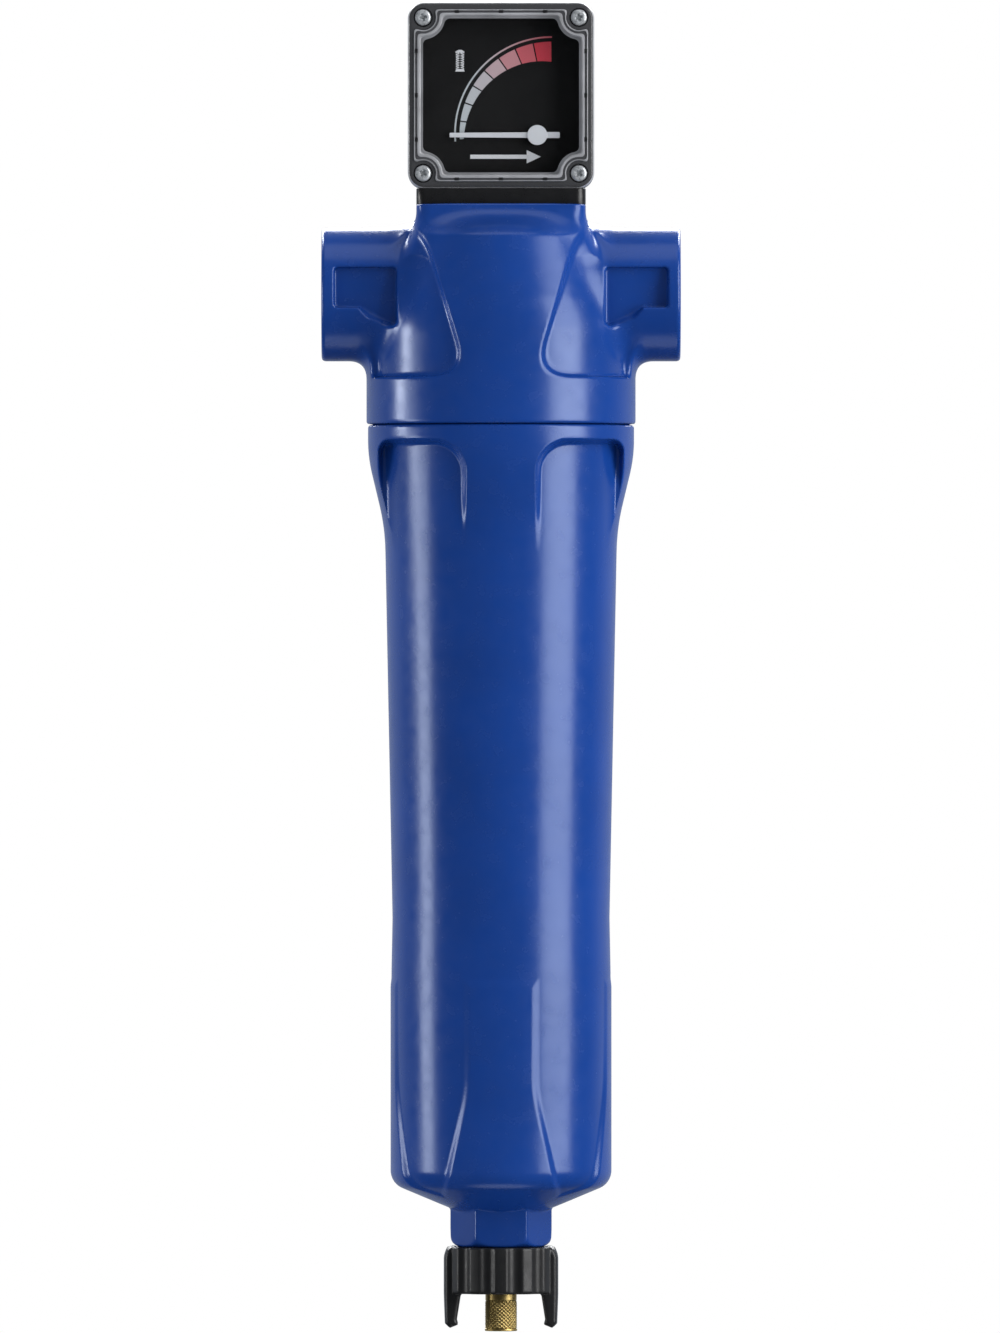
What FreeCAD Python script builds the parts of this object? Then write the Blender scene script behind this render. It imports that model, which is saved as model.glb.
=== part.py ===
import FreeCAD, Part
import math
import os

# A coalescing compressed air filter, in millimetres.
# The origin is where the pipe line crosses the bowl's axis. Air flows along +X,
# the gauge faces -Y and +Z is up.

V = FreeCAD.Vector

# Running clearances between pieces
layer_gap = 0.1
seat_gap = 0.3
ring_proud = 0.1
ring_floor_gap = 0.02
ring_side_gap = 0.2
slide_gap = 0.4
bearing_gap = 0.05

# Head casting
ring_r = 52.5
ring_bottom_z = -50.5
ring_height = 18.2
scoop_depth = 3.0
scoop_corner = 8.9
front_panel_foot = 13.0
front_panel_lean = 0.302
side_panel_half = 14.0
head_dome_z = -8.0
head_dome_round = 40.0
shoulder_inset = 13.0
shoulder_z = 23.0
shoulder_round = 3.0
crown_inset = 18.5
crown_z = 28.0
pad_top_z = 35.0
pad_inset = 3.3
pad_half_y = 23.0
pad_corner = 5.5
thread_wall = 5.0
thread_length = 18.0
thread_depth = 3.5
chamber_side_z = -6.0
chamber_side_round = 6.0
chamber_roof_inset = 12.0
chamber_roof_z = 13.0
chamber_roof_round = 4.0
chamber_crown_z = 17.0
gauge_drill_z = 10.0

# Pipe ports
port_reach = 17.5
port_boss_r = 26.0
port_boss_edge = 1.5
port_boss_flare = 5.0
port_boss_run = 12.0
port_boss_root = 8.0
port_thread_r = 15.15
port_depth = 22.0
duct_r = 13.0
duct_wall = 4.0
clamp_slot_outer = 5.0
clamp_slot_length = 24.4
clamp_slot_top_z = 10.3
clamp_slot_bottom_z = -5.3
clamp_slot_drop = 7.0
clamp_slot_drop_length = 14.4
clamp_slot_depth = 5.0

# Socket that takes the element
socket_r = 16.3
socket_wall = 3.2
socket_top_z = -10.0
socket_bottom_z = -28.0

# Bowl
seam = 0.4
collar_inset = 0.6
collar_height = 10.1
collar_edge = 0.8
flare_height = 30.0
flare_top_round = 14.0
flare_foot_round = 20.0
flare_overlap = 0.05
barrel_inset = 2.2
barrel_taper = 0.0194
bowl_wall = 4.0
neck_gap = 0.4
neck_top_gap = 1.0
pocket_below_collar = 6.7
panel_half_angle = 17.6
pocket_corner = 8.0
sump_depth = 88.0
foot_panel_step = 2.75
foot_panel_height = 78.0
foot_panel_bevel = 1.3
foot_panel_bevel_height = 4.0
foot_panel_flare_height = 36.0
foot_panel_round = 60.0
foot_panel_wide_half = 23.7
foot_panel_drop = 0.7
dome_round = 10.0
dome_end_r = 19.5
dome_height = 10.6
bowl_floor_thick = 7.6
bowl_floor_inset = 9.35
bowl_floor_round = 3.0
bowl_side_round = 6.0
hex_flats = 34.5
hex_height = 14.9
hex_round = 4.0
hex_edge_round = 3.0
hex_root = 6.0
hex_face_inset = 0.05
rib_thick = 3.0
rib_reach = 8.35

# Element
element_side_gap = 0.85
element_top_gap = 3.0
cap_thick = 7.0
cap_skirt = 6.0
cap_skirt_wall = 1.1
cap_round = 2.0
element_length = 227.0
spigot_length = 18.0
spigot_bore_r = 12.0
spigot_edge = 1.0
element_ring_section = 2.6
lower_ring_height = 9.36
upper_ring_height = 14.76
core_wall = 0.8
media_thick = 9.2
foam_thick = 3.2
core_slot_rows = 4
core_slot_columns = 6
core_slot_width = 7.0
core_slot_length = 34.0

# Bowl seal
bowl_ring_section = 3.0
bowl_ring_below_top = 3.0

# Differential pressure gauge
base_height = 6.0
base_half_y = 21.0
base_corner = 4.0
gauge_side = 72.6
gauge_corner = 6.6
case_front_y = -13.0
case_back_y = 3.0
case_wall = 2.4
gasket_thick = 1.0
cover_thick = 7.0
cover_wall = 2.4
window_rim_height = 0.8
window_rim_width = 2.2
window_rim_root = 0.5
window_corner = 1.5
window_border_x = 4.7
window_border_z = 5.1
cover_screw_inset = 5.95
cover_screw_r = 2.0
cover_screw_head_r = 3.2
cover_screw_head_height = 2.2
cover_screw_head_round = 0.9
cover_screw_length = 14.0
cover_screw_seat_depth = 2.0
cover_screw_hole_depth = 10.0
screw_hole_gap = 0.2
screw_head_gap = 0.5
screw_boss_r = 6.0
dial_relief_r = 7.3
dial_thick = 0.8
dial_depth = 2.0
dial_gap = 1.0
dial_border = 0.6
dial_ledge = 4.0
dial_ledge_thick = 1.5
dial_ledge_corner = 6.0
gasket_inset = 0.4
gasket_overlap = 0.6

# Pointer
hub_from_side = 22.2
hub_above_base = 21.0
pointer_tip_gap = 11.5
pointer_tail = 8.8
pointer_tip_width = 1.8
pointer_root_width = 2.4
pointer_thick = 0.8
pointer_above_dial = 1.6
hub_r = 3.9
hub_height = 1.6
pointer_shaft_r = 1.0
shaft_hole_gap = 0.6
wheel_r = 5.0
wheel_thick = 3.0
bearing_r = 3.0
bearing_proud = 1.2
bearing_end = 0.5
shaft_end_gap = 0.1

# Measuring cylinder
cylinder_y = 10.5
cylinder_below_top = 11.5
block_screw_gap = 0.3
block_height = 20.5
cylinder_end_wall = 3.5
liner_r = 7.4
liner_wall = 1.4
gauge_port_inset = 5.5
gauge_port_r = 1.5
port_ring_r = 2.9
port_ring_section = 1.6
piston_length = 12.0
piston_back_gap = 5.0
piston_ring_share = 0.25
piston_ring_section = 1.4
plug_ring_section = 1.2
magnet_r = 3.5
magnet_length = 5.0
spring_r = 4.6
spring_wire = 0.9
spring_turns = 5
plug_length = 3.5
plug_slot_width = 1.6
plug_slot_depth = 1.0
mount_screw_inset = 3.7
mount_screw_y = 12.0
mount_screw_r = 2.0
mount_screw_head_r = 3.5
mount_screw_head_height = 4.0
mount_screw_socket = 1.7
mount_screw_grip = 10.0
case_screw_inset = 4.5
case_screw_below_top = 2.4
case_screw_r = 1.5
case_screw_head_r = 2.6
case_screw_head_height = 1.6
case_screw_length = 9.0

# Drain
drain_flange_r = 24.0
drain_flange_thick = 4.0
drain_stem_r = 10.9
drain_stem_gap = 0.3
drain_thread_r = 9.8
drain_thread_length = 16.5
drain_tower_r = 6.0
drain_tower_height = 5.0
drain_ring_r = 14.0
drain_ring_section = 2.2
valve_seat_r = 3.5
valve_seat_bore = 1.2
valve_seat_proud = 3.0
valve_seat_sunk = 3.0
valve_seat_cone = 1.4
valve_seat_lip = 0.8
cage_inset = 0.5
cage_wall = 1.2
cage_height = 59.0
cage_window_width = 8.0
cage_window_foot = 3.0
cage_window_rise = 6.0
cage_vent_r = 3.0
cage_windows = 6
float_side_gap = 0.7
float_wall = 1.6
float_height = 27.0
float_round = 3.0
float_below_roof = 9.6
lever_pivot_x = -11.0
lever_tip_x = 14.5
lever_above_seat = 4.3
lever_half_width = 2.5
lever_thick = 2.4
lever_hub_r = 2.3
lever_pin_r = 1.0
ear_gap = 0.4
ear_thick = 1.8
ear_r = 3.0
plug_r = 2.6
clevis_thick = 1.5
clevis_back = 5.0
clevis_foot = 3.2
clevis_overlap = 8.0
clevis_slot_back = 3.0
clevis_slot_front = 1.8

# Grip nut and spout
nut_r = 20.8
nut_height = 18.2
nut_edge = 1.0
nut_bore_gap = 0.1
nut_flutes = 12
flute_r = 3.2
flute_depth = 1.0
wing_r = 22.8
wing_half_width = 6.5
wing_inner_r = 14.8
wing_foot_inner_r = 17.2
wing_foot_thick = 2.6
wing_taper = 0.8
wing_round = 1.5
wing_root_round = 4.0
wing_hook = 0.6
wing_hook_height = 2.0
wing_hook_rise = 1.4
wing_hook_round = 0.5
wing_rise = 0.6
wing_length = 31.7
nut_recess_gap = 0.6
nut_recess_flare = 0.8
spout_r = 6.1
spout_thread_r = 6.0
spout_thread_gap = 0.4
spout_thread_length = 14.0
spout_neck = 4.3
spout_length = 32.9
spout_foot_r = 6.4
spout_bore_r = 2.0
spout_edge = 0.6
spout_drill_cone = 2.0
hose_thread_r = 4.3
hose_thread_depth = 10.0
spout_ring_below_top = 4.0
spout_ring_section = 2.0

# Values that follow from the driving ones
scoop_floor_z = ring_bottom_z + ring_height
shoulder_r = ring_r - shoulder_inset
crown_r = ring_r - crown_inset
thread_r = ring_r - thread_wall
thread_top_z = ring_bottom_z + thread_length
chamber_r = thread_r - thread_depth
chamber_roof_r = chamber_r - chamber_roof_inset
port_face_x = ring_r + port_reach
clamp_slot_outer_x = port_face_x - clamp_slot_outer
clamp_slot_inner_x = clamp_slot_outer_x - clamp_slot_length
clamp_slot_drop_x = clamp_slot_inner_x + clamp_slot_drop_length
duct_outer_r = duct_r + duct_wall
socket_outer_r = socket_r + socket_wall
spigot_r = socket_r - slide_gap
element_top_z = socket_bottom_z - element_top_gap
element_bottom_z = element_top_z - element_length
collar_r = ring_r - collar_inset
collar_top_z = ring_bottom_z - seam
collar_foot_z = collar_top_z - collar_height
flare_end_z = collar_foot_z - flare_height
pocket_top_z = collar_top_z - pocket_below_collar
neck_r = thread_r - neck_gap
neck_top_z = thread_top_z - neck_top_gap
barrel_corner_z = element_bottom_z - sump_depth
barrel_top_r = thread_r - barrel_inset
barrel_foot_r = barrel_top_r - barrel_taper * (flare_end_z - barrel_corner_z)
inner_top_r = barrel_top_r - bowl_wall
inner_foot_r = barrel_foot_r - bowl_wall
bowl_floor_r = inner_foot_r - bowl_floor_inset
foot_panel_r = barrel_foot_r + foot_panel_step
foot_panel_top_z = barrel_corner_z + foot_panel_height
foot_panel_flare_z = barrel_corner_z + foot_panel_flare_height
foot_panel_corner_z = barrel_corner_z - foot_panel_drop
dome_end_z = barrel_corner_z - dome_height
bowl_floor_z = dome_end_z + bowl_floor_thick
hex_bottom_z = dome_end_z - hex_height
hex_corner_r = hex_flats / math.sqrt(3)
hex_face_r = hex_flats / 2 - hex_face_inset
rib_inner_r = inner_foot_r - rib_reach
cap_r = inner_foot_r - element_side_gap
foam_outer_r = cap_r - cap_skirt_wall - layer_gap
foam_r = foam_outer_r - foam_thick
outer_core_r = foam_r - layer_gap - core_wall
media_outer_r = outer_core_r - layer_gap
media_r = media_outer_r - media_thick
inner_core_r = media_r - layer_gap - core_wall
base_top_z = pad_top_z + base_height
gauge_half = gauge_side / 2
pad_half_x = gauge_half - pad_inset
gauge_centre_z = base_top_z + gauge_half
case_inner_half = gauge_half - case_wall
case_inner_corner = gauge_corner - case_wall
window_half_x = gauge_half - window_border_x
window_half_z = gauge_half - window_border_z
cover_screw_half = gauge_half - cover_screw_inset
hub_x = gauge_half - hub_from_side
hub_z = base_top_z + hub_above_base
pointer_length = hub_x + window_half_x - pointer_tip_gap
gasket_front_y = case_front_y - gasket_thick
cover_front_y = gasket_front_y - cover_thick
dial_front_y = case_front_y + dial_depth
dial_back_y = dial_front_y + dial_thick
wheel_front_y = dial_back_y + dial_gap
pointer_back_y = dial_front_y - pointer_above_dial
mount_screw_x = pad_half_x - mount_screw_inset
block_half_x = mount_screw_x - mount_screw_head_r - block_screw_gap
case_screw_x = block_half_x - case_screw_inset
gauge_port_x = block_half_x - gauge_port_inset
cylinder_end_x = cylinder_end_wall - block_half_x
piston_start_x = cylinder_end_x + piston_back_gap
piston_end_x = piston_start_x + piston_length
cylinder_z = base_top_z + block_height - cylinder_below_top
block_top_z = base_top_z + block_height
case_screw_z = block_top_z - case_screw_below_top
cylinder_bore_r = liner_r - liner_wall
spring_seat_x = block_half_x - plug_length
drain_bore_r = drain_stem_r + drain_stem_gap
drain_thread_end_z = hex_bottom_z - drain_thread_length
flange_top_z = bowl_floor_z + drain_flange_thick
tower_top_z = flange_top_z + drain_tower_height
seat_top_z = tower_top_z + valve_seat_proud
lever_z = seat_top_z + lever_above_seat
cage_r = drain_flange_r - cage_inset
cage_roof_z = flange_top_z + cage_height
float_r = cage_r - cage_wall - float_side_gap
float_top_z = cage_roof_z - cage_wall - float_below_roof
float_bottom_z = float_top_z - float_height
nut_top_z = hex_bottom_z
nut_bottom_z = nut_top_z - nut_height
wing_foot_z = nut_top_z - wing_length
spout_top_z = drain_thread_end_z + spout_thread_length
spout_end_z = hex_bottom_z - spout_length
spout_ring_z = spout_top_z - spout_ring_below_top


# Shapes that several pieces share

def rounded_corner(before, here, after, radius):
    """Start, middle and end of the arc that rounds one corner of an outline."""
    back = V(before - here)
    ahead = V(after - here)
    half = back.getAngle(ahead) / 2
    reach = min(radius / math.tan(half), 0.49 * back.Length, 0.49 * ahead.Length)
    back.normalize()
    ahead.normalize()
    middle_line = V(back + ahead)
    middle_line.normalize()
    real = reach * math.tan(half)
    centre = here + middle_line * (real / math.sin(half))
    return here + back * reach, centre - middle_line * real, here + ahead * reach


def outline(corners, place):
    """Closed face through corners (u, v, radius), set in space by place."""
    flat = [V(u, v, 0) for u, v, radius in corners]
    edges = []
    runs = []
    for i, (u, v, radius) in enumerate(corners):
        if radius:
            start, middle, end = rounded_corner(flat[i - 1], flat[i], flat[(i + 1) % len(flat)], radius)
            edges.append((start, middle, end))
            runs.append((start, end))
        else:
            edges.append(None)
            runs.append((flat[i], flat[i]))
    path = []
    for i, arc in enumerate(edges):
        if arc:
            path.append(Part.Arc(*[place(p.x, p.y) for p in arc]).toShape())
        leave, meet = runs[i][1], runs[(i + 1) % len(runs)][0]
        if (leave - meet).Length > 1e-6:
            path.append(Part.makeLine(place(leave.x, leave.y), place(meet.x, meet.y)))
    return Part.Face(Part.Wire(path))


def turned(corners, centre=V(0, 0, 0)):
    """Solid turned about a vertical line from corners (radius, height, rounding)."""
    face = outline(corners, lambda r, z: V(centre.x + r, centre.y, z))
    return face.revolve(centre, V(0, 0, 1), 360)


def turned_x(corners, y=0.0, z=0.0):
    """Solid turned about a line along X from corners (x, radius, rounding)."""
    face = outline(corners, lambda x, r: V(x, y, z + r))
    return face.revolve(V(0, y, z), V(1, 0, 0), 360)


def upright(radius, low, high, x=0.0, y=0.0):
    return Part.makeCylinder(radius, high - low, V(x, y, low))


def tube(outer, inner, low, high):
    return upright(outer, low, high).cut(upright(inner, low, high))


def along_x(radius, start, end, y=0.0, z=0.0):
    return Part.makeCylinder(radius, end - start, V(start, y, z), V(1, 0, 0))


def along_y(radius, start, end, x=0.0, z=0.0):
    return Part.makeCylinder(radius, end - start, V(x, start, z), V(0, 1, 0))


def block(x0, x1, y0, y1, z0, z1):
    return Part.makeBox(x1 - x0, y1 - y0, z1 - z0, V(x0, y0, z0))


def plate_xz(corners, y0, y1):
    """Flat plate with its outline in the XZ plane."""
    return outline(corners, lambda x, z: V(x, y0, z)).extrude(V(0, y1 - y0, 0))


def plate_xy(corners, z0, z1):
    """Flat plate with its outline in the XY plane."""
    return outline(corners, lambda x, y: V(x, y, z0)).extrude(V(0, 0, z1 - z0))


def square(half_u, half_v, corner, centre_v=0.0):
    """Corners of a rounded rectangle."""
    return [
        (-half_u, centre_v - half_v, corner),
        (half_u, centre_v - half_v, corner),
        (half_u, centre_v + half_v, corner),
        (-half_u, centre_v + half_v, corner),
    ]


def ring(centre_r, section, z, at=V(0, 0, 0)):
    """O-ring lying flat, by the radius of its centre line."""
    return Part.makeTorus(centre_r, section / 2, V(at.x, at.y, z))


def seated_ring(outer_r, section, z):
    """O-ring in the groove of an upright shaft, standing a little proud of it."""
    return ring(outer_r + ring_proud - section / 2, section, z)


def ring_groove(outer_r, section, z):
    """Cutter for that groove."""
    floor_r = outer_r + ring_proud - section - ring_floor_gap
    half = section / 2 + ring_side_gap
    return tube(outer_r + 1, floor_r, z - half, z + half)


def four_ways(shape):
    """A shape and its copies turned by quarter turns about the bowl's axis."""
    copies = []
    for quarter in range(4):
        copy = shape.copy()
        copy.rotate(V(0, 0, 0), V(0, 0, 1), 90 * quarter)
        copies.append(copy)
    return copies


def mirrored(shape, normal):
    return shape.mirror(V(0, 0, 0), normal)


def save(name, *solids):
    """Write one node, made of one or more separate solids."""
    shape = solids[0] if len(solids) == 1 else Part.makeCompound(list(solids))
    if len(solids) == 1 and len(shape.Solids) == 1:
        shape = shape.Solids[0]
    shape.exportStep(os.path.join("parts", name + ".step"))
    box = shape.BoundBox
    print(name, len(shape.Solids), "solids", shape.isValid(), round(shape.Volume), "mm3",
          [round(value, 1) for value in (box.XMin, box.XMax, box.YMin, box.YMax, box.ZMin, box.ZMax)])


# Head casting

def head_form(inset):
    """The head's turned form, set in by a distance."""
    return turned([
        (0, ring_bottom_z, 0),
        (ring_r - inset, ring_bottom_z, 0),
        (ring_r - inset, head_dome_z, head_dome_round),
        (shoulder_r - inset, shoulder_z, shoulder_round),
        (crown_r - inset, crown_z, 0),
        (0, crown_z + 1, 0),
    ])


def head_scoops():
    """Four scooped cheeks between the panels."""
    top_z = pad_top_z + 5
    far = ring_r + 5
    top_x = front_panel_foot + front_panel_lean * (top_z - scoop_floor_z)
    scoop = plate_xz([
        (top_x, top_z, 0),
        (front_panel_foot, scoop_floor_z, scoop_corner),
        (far, scoop_floor_z, 0),
        (far, top_z, 0),
    ], -far, -side_panel_half)
    left = mirrored(scoop, V(1, 0, 0))
    return [scoop, left, mirrored(scoop, V(0, 1, 0)), mirrored(left, V(0, 1, 0))]


def port_boss():
    """The outlet's boss, which flares where it meets the dome."""
    root_x = chamber_r - port_boss_root
    boss = turned_x([
        (root_x, 0, 0),
        (root_x, port_boss_r + port_boss_flare, 0),
        (root_x + port_boss_flare, port_boss_r + port_boss_flare, 0),
        (root_x + port_boss_run, port_boss_r, 2 * port_boss_flare),
        (port_face_x, port_boss_r, port_boss_edge),
        (port_face_x, 0, 0),
    ])
    slot = plate_xz([
        (clamp_slot_inner_x, clamp_slot_top_z, 0),
        (clamp_slot_outer_x, clamp_slot_top_z, 0),
        (clamp_slot_outer_x, clamp_slot_bottom_z, 0),
        (clamp_slot_drop_x, clamp_slot_bottom_z, 0),
        (clamp_slot_inner_x, clamp_slot_bottom_z - clamp_slot_drop, 0),
    ], -port_boss_r - port_boss_flare, clamp_slot_depth - port_boss_r)
    return boss.cut([slot, mirrored(slot, V(0, 1, 0))])


def outlet_chamber():
    """Annular space round the socket, which the clean air leaves through."""
    chamber = turned([
        (0, thread_top_z, 0),
        (chamber_r, thread_top_z, 0),
        (chamber_r, chamber_side_z, chamber_side_round),
        (chamber_roof_r, chamber_roof_z, chamber_roof_round),
        (0, chamber_crown_z, 0),
    ])
    duct = along_x(duct_outer_r, -chamber_r - 2, 0)
    web = block(-chamber_r - 2, 0, -duct_outer_r, duct_outer_r, 0, chamber_crown_z + 1)
    socket = upright(socket_outer_r, socket_bottom_z, chamber_crown_z + 1)
    return chamber.cut([duct, web, socket])


def filter_head():
    shell = head_form(0).cut(head_scoops()).fuse(head_form(scoop_depth))
    outlet = port_boss()
    pad = plate_xy(square(pad_half_x, pad_half_y, pad_corner), crown_z - 2, pad_top_z)
    body = shell.fuse([outlet, mirrored(outlet, V(1, 0, 0)), pad])
    port = along_x(port_thread_r, port_face_x - port_depth, port_face_x + 1)
    outlet_duct = along_x(duct_r, chamber_r - 6, port_face_x - port_depth)
    inlet_duct = along_x(duct_r, port_depth - port_face_x, 0)
    openings = [
        outlet_chamber(),
        upright(thread_r, ring_bottom_z - 1, thread_top_z),
        port,
        mirrored(port, V(1, 0, 0)),
        outlet_duct,
        inlet_duct,
        Part.makeSphere(duct_r),
        upright(duct_r, socket_top_z, 0),
        upright(socket_r, socket_bottom_z - 1, socket_top_z),
        upright(gauge_port_r, 0, pad_top_z + 1, -gauge_port_x, cylinder_y),
        upright(gauge_port_r, gauge_drill_z, pad_top_z + 1, gauge_port_x, cylinder_y),
    ]
    for side in (-1, 1):
        openings.append(upright(mount_screw_r, pad_top_z - mount_screw_grip - 1, pad_top_z + 1,
                                side * mount_screw_x, mount_screw_y))
    return body.cut(openings).removeSplitter()


# Bowl

def barrel_radius(z):
    return barrel_top_r + barrel_taper * (z - flare_end_z)


def bowl_dome(side_r, corner_z):
    """Corners of the domed foot, from the side to the hexagon boss."""
    return [(side_r, corner_z, dome_round), (dome_end_r, dome_end_z, 0), (0, dome_end_z, 0)]


def bowl_barrel():
    """The plain tapered barrel, as it shows in the pockets."""
    return turned([
        (0, collar_top_z, 0),
        (barrel_radius(collar_top_z), collar_top_z, 0),
    ] + bowl_dome(barrel_foot_r, barrel_corner_z))


def bowl_collar():
    """Full collar with its flare, as it shows on the panels."""
    low = flare_end_z - flare_foot_round
    return turned([
        (0, collar_top_z, 0),
        (collar_r, collar_top_z, collar_edge),
        (collar_r, collar_foot_z, flare_top_round),
        (barrel_radius(flare_end_z) + flare_overlap, flare_end_z, flare_foot_round),
        (barrel_radius(low) + flare_overlap, low, 0),
        (0, low, 0),
    ])


def bowl_pocket():
    """Space between two panels, cut below the collar, as a prism along one diagonal."""
    half = collar_r * math.sin(math.radians(45 - panel_half_angle))
    low = flare_end_z - flare_foot_round - 5
    pocket = plate_xz([
        (-half, low, 0), (half, low, 0),
        (half, pocket_top_z, pocket_corner), (-half, pocket_top_z, pocket_corner),
    ], -collar_r - 5, 0)
    pocket.rotate(V(0, 0, 0), V(0, 0, 1), 45)
    return pocket


def foot_panels():
    """Four raised panels that carry the barrel's foot."""
    form = turned([
        (0, foot_panel_top_z, 0),
        (foot_panel_r - foot_panel_bevel, foot_panel_top_z, 0),
        (foot_panel_r, foot_panel_top_z - foot_panel_bevel_height, 0),
    ] + bowl_dome(foot_panel_r, foot_panel_corner_z))
    half = foot_panel_r * math.sin(math.radians(panel_half_angle))
    face = [
        (-half, foot_panel_top_z + 1, 0), (half, foot_panel_top_z + 1, 0),
        (half, foot_panel_flare_z, foot_panel_round),
        (foot_panel_wide_half, dome_end_z, 0),
        (-foot_panel_wide_half, dome_end_z, 0),
        (-half, foot_panel_flare_z, foot_panel_round),
    ]
    prism = plate_xz(face, -foot_panel_r - 5, 0)
    return [form.common(way) for way in four_ways(prism)]


def hex_boss():
    corners = []
    for i in range(6):
        angle = math.radians(60 * i)
        corners.append((hex_corner_r * math.cos(angle), hex_corner_r * math.sin(angle), 0))
    top = dome_end_z + hex_root
    boss = plate_xy(corners, hex_bottom_z, top)
    rounding = turned([
        (0, hex_bottom_z, 0), (hex_face_r, hex_bottom_z, 0),
        (hex_corner_r + 0.1, hex_bottom_z + hex_round, hex_edge_round),
        (hex_corner_r + 0.1, top, 0), (0, top, 0),
    ])
    return boss.common(rounding)


def bowl_inside():
    """The hollow, with its flat floor and the drain's bore."""
    hollow = turned([
        (0, bowl_floor_z, 0),
        (bowl_floor_r, bowl_floor_z, bowl_floor_round),
        (inner_foot_r, barrel_corner_z + bowl_wall, bowl_side_round),
        (inner_top_r, flare_end_z, 0),
        (inner_top_r, neck_top_z + 1, 0),
        (0, neck_top_z + 1, 0),
    ])
    return hollow.fuse(upright(drain_bore_r, hex_bottom_z - 1, bowl_floor_z + 1))


def element_ribs():
    """Four ribs inside the bowl that the element stands on."""
    top = element_bottom_z - seat_gap
    rib = block(rib_inner_r, foot_panel_r, -rib_thick / 2, rib_thick / 2, bowl_floor_z - 3, top)
    envelope = bowl_barrel()
    return [way.common(envelope) for way in four_ways(rib)]


def filter_bowl():
    outside = bowl_collar().cut(four_ways(bowl_pocket())).fuse([bowl_barrel(), hex_boss()] + foot_panels())
    neck = upright(neck_r, collar_top_z - 1, neck_top_z)
    groove = ring_groove(neck_r, bowl_ring_section, neck_top_z - bowl_ring_below_top)
    shell = outside.fuse(neck).cut([bowl_inside(), groove])
    return shell.fuse(element_ribs()).removeSplitter()


def bowl_o_ring():
    return seated_ring(neck_r, bowl_ring_section, neck_top_z - bowl_ring_below_top)


# Element

def element_top_cap():
    top = element_top_z
    skirt_r = cap_r - cap_skirt_wall
    cap = turned([
        (spigot_bore_r, top - cap_thick, 0),
        (skirt_r, top - cap_thick, 0),
        (skirt_r, top - cap_thick - cap_skirt, 0),
        (cap_r, top - cap_thick - cap_skirt, 0),
        (cap_r, top, cap_round),
        (spigot_r, top, spigot_edge),
        (spigot_r, top + spigot_length, spigot_edge),
        (spigot_bore_r, top + spigot_length, 0),
    ])
    return cap.cut([ring_groove(spigot_r, element_ring_section, z) for z in element_ring_heights()])


def element_ring_heights():
    return [element_top_z + lower_ring_height, element_top_z + upper_ring_height]


def element_bottom_cap():
    bottom = element_bottom_z
    skirt_r = cap_r - cap_skirt_wall
    return turned([
        (0, bottom, 0),
        (cap_r, bottom, cap_round),
        (cap_r, bottom + cap_thick + cap_skirt, 0),
        (skirt_r, bottom + cap_thick + cap_skirt, 0),
        (skirt_r, bottom + cap_thick, 0),
        (0, bottom + cap_thick, 0),
    ])


def slotted_core(radius, low, high):
    """Support tube with rows of open slots."""
    core = tube(radius + core_wall, radius, low, high)
    pitch = (high - low) / core_slot_rows
    slots = []
    for row in range(core_slot_rows):
        centre = low + pitch * (row + 0.5)
        for column in range(core_slot_columns // 2):
            slot = block(-radius - 5, radius + 5, -core_slot_width / 2, core_slot_width / 2,
                         centre - core_slot_length / 2, centre + core_slot_length / 2)
            slot.rotate(V(0, 0, 0), V(0, 0, 1), 360 / core_slot_columns * column)
            slots.append(slot)
    return core.cut(slots)


# Gauge

def gauge_port_places():
    return [V(-gauge_port_x, cylinder_y, 0), V(gauge_port_x, cylinder_y, 0)]


def gauge_block():
    """Base on the head's pad, with the measuring cylinder's block behind the case."""
    base = plate_xy(square(pad_half_x, base_half_y, base_corner), pad_top_z, base_top_z)
    rear = block(-block_half_x, block_half_x, case_back_y, base_half_y, base_top_z - 1, block_top_z)
    openings = [along_x(liner_r, cylinder_end_x, block_half_x + 1, cylinder_y, cylinder_z)]
    for place in gauge_port_places():
        openings.append(upright(gauge_port_r, pad_top_z - 1, cylinder_z, place.x, place.y))
        openings.append(upright(port_ring_r + port_ring_section / 2 + ring_side_gap, pad_top_z - 1,
                                pad_top_z + port_ring_section, place.x, place.y))
    for side in (-1, 1):
        openings.append(upright(mount_screw_r + seat_gap, pad_top_z - 1, base_top_z + 1,
                                side * mount_screw_x, mount_screw_y))
        openings.append(along_y(case_screw_r, case_back_y - 1, case_back_y + case_screw_length,
                                side * case_screw_x, case_screw_z))
    return base.fuse(rear).cut(openings).removeSplitter()


def gauge_port_o_rings():
    z = pad_top_z + port_ring_section / 2
    return [ring(port_ring_r, port_ring_section, z, place) for place in gauge_port_places()]


def gauge_mount_screws():
    screws = []
    for side in (-1, 1):
        shank = upright(mount_screw_r, pad_top_z - mount_screw_grip, base_top_z,
                        side * mount_screw_x, mount_screw_y)
        head = upright(mount_screw_head_r, base_top_z, base_top_z + mount_screw_head_height,
                       side * mount_screw_x, mount_screw_y)
        socket = hex_socket(mount_screw_socket, base_top_z + mount_screw_head_height / 2,
                            base_top_z + mount_screw_head_height + 1,
                            V(side * mount_screw_x, mount_screw_y, 0))
        screws.append(shank.fuse(head).cut(socket).removeSplitter())
    return screws


def hex_socket(corner_r, low, high, at):
    corners = [(at.x + corner_r * math.cos(math.radians(60 * i)),
                at.y + corner_r * math.sin(math.radians(60 * i)), 0) for i in range(6)]
    return plate_xy(corners, low, high)


def cover_screw_places():
    half = cover_screw_half
    return [(x, gauge_centre_z + z) for x in (-half, half) for z in (-half, half)]


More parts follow.
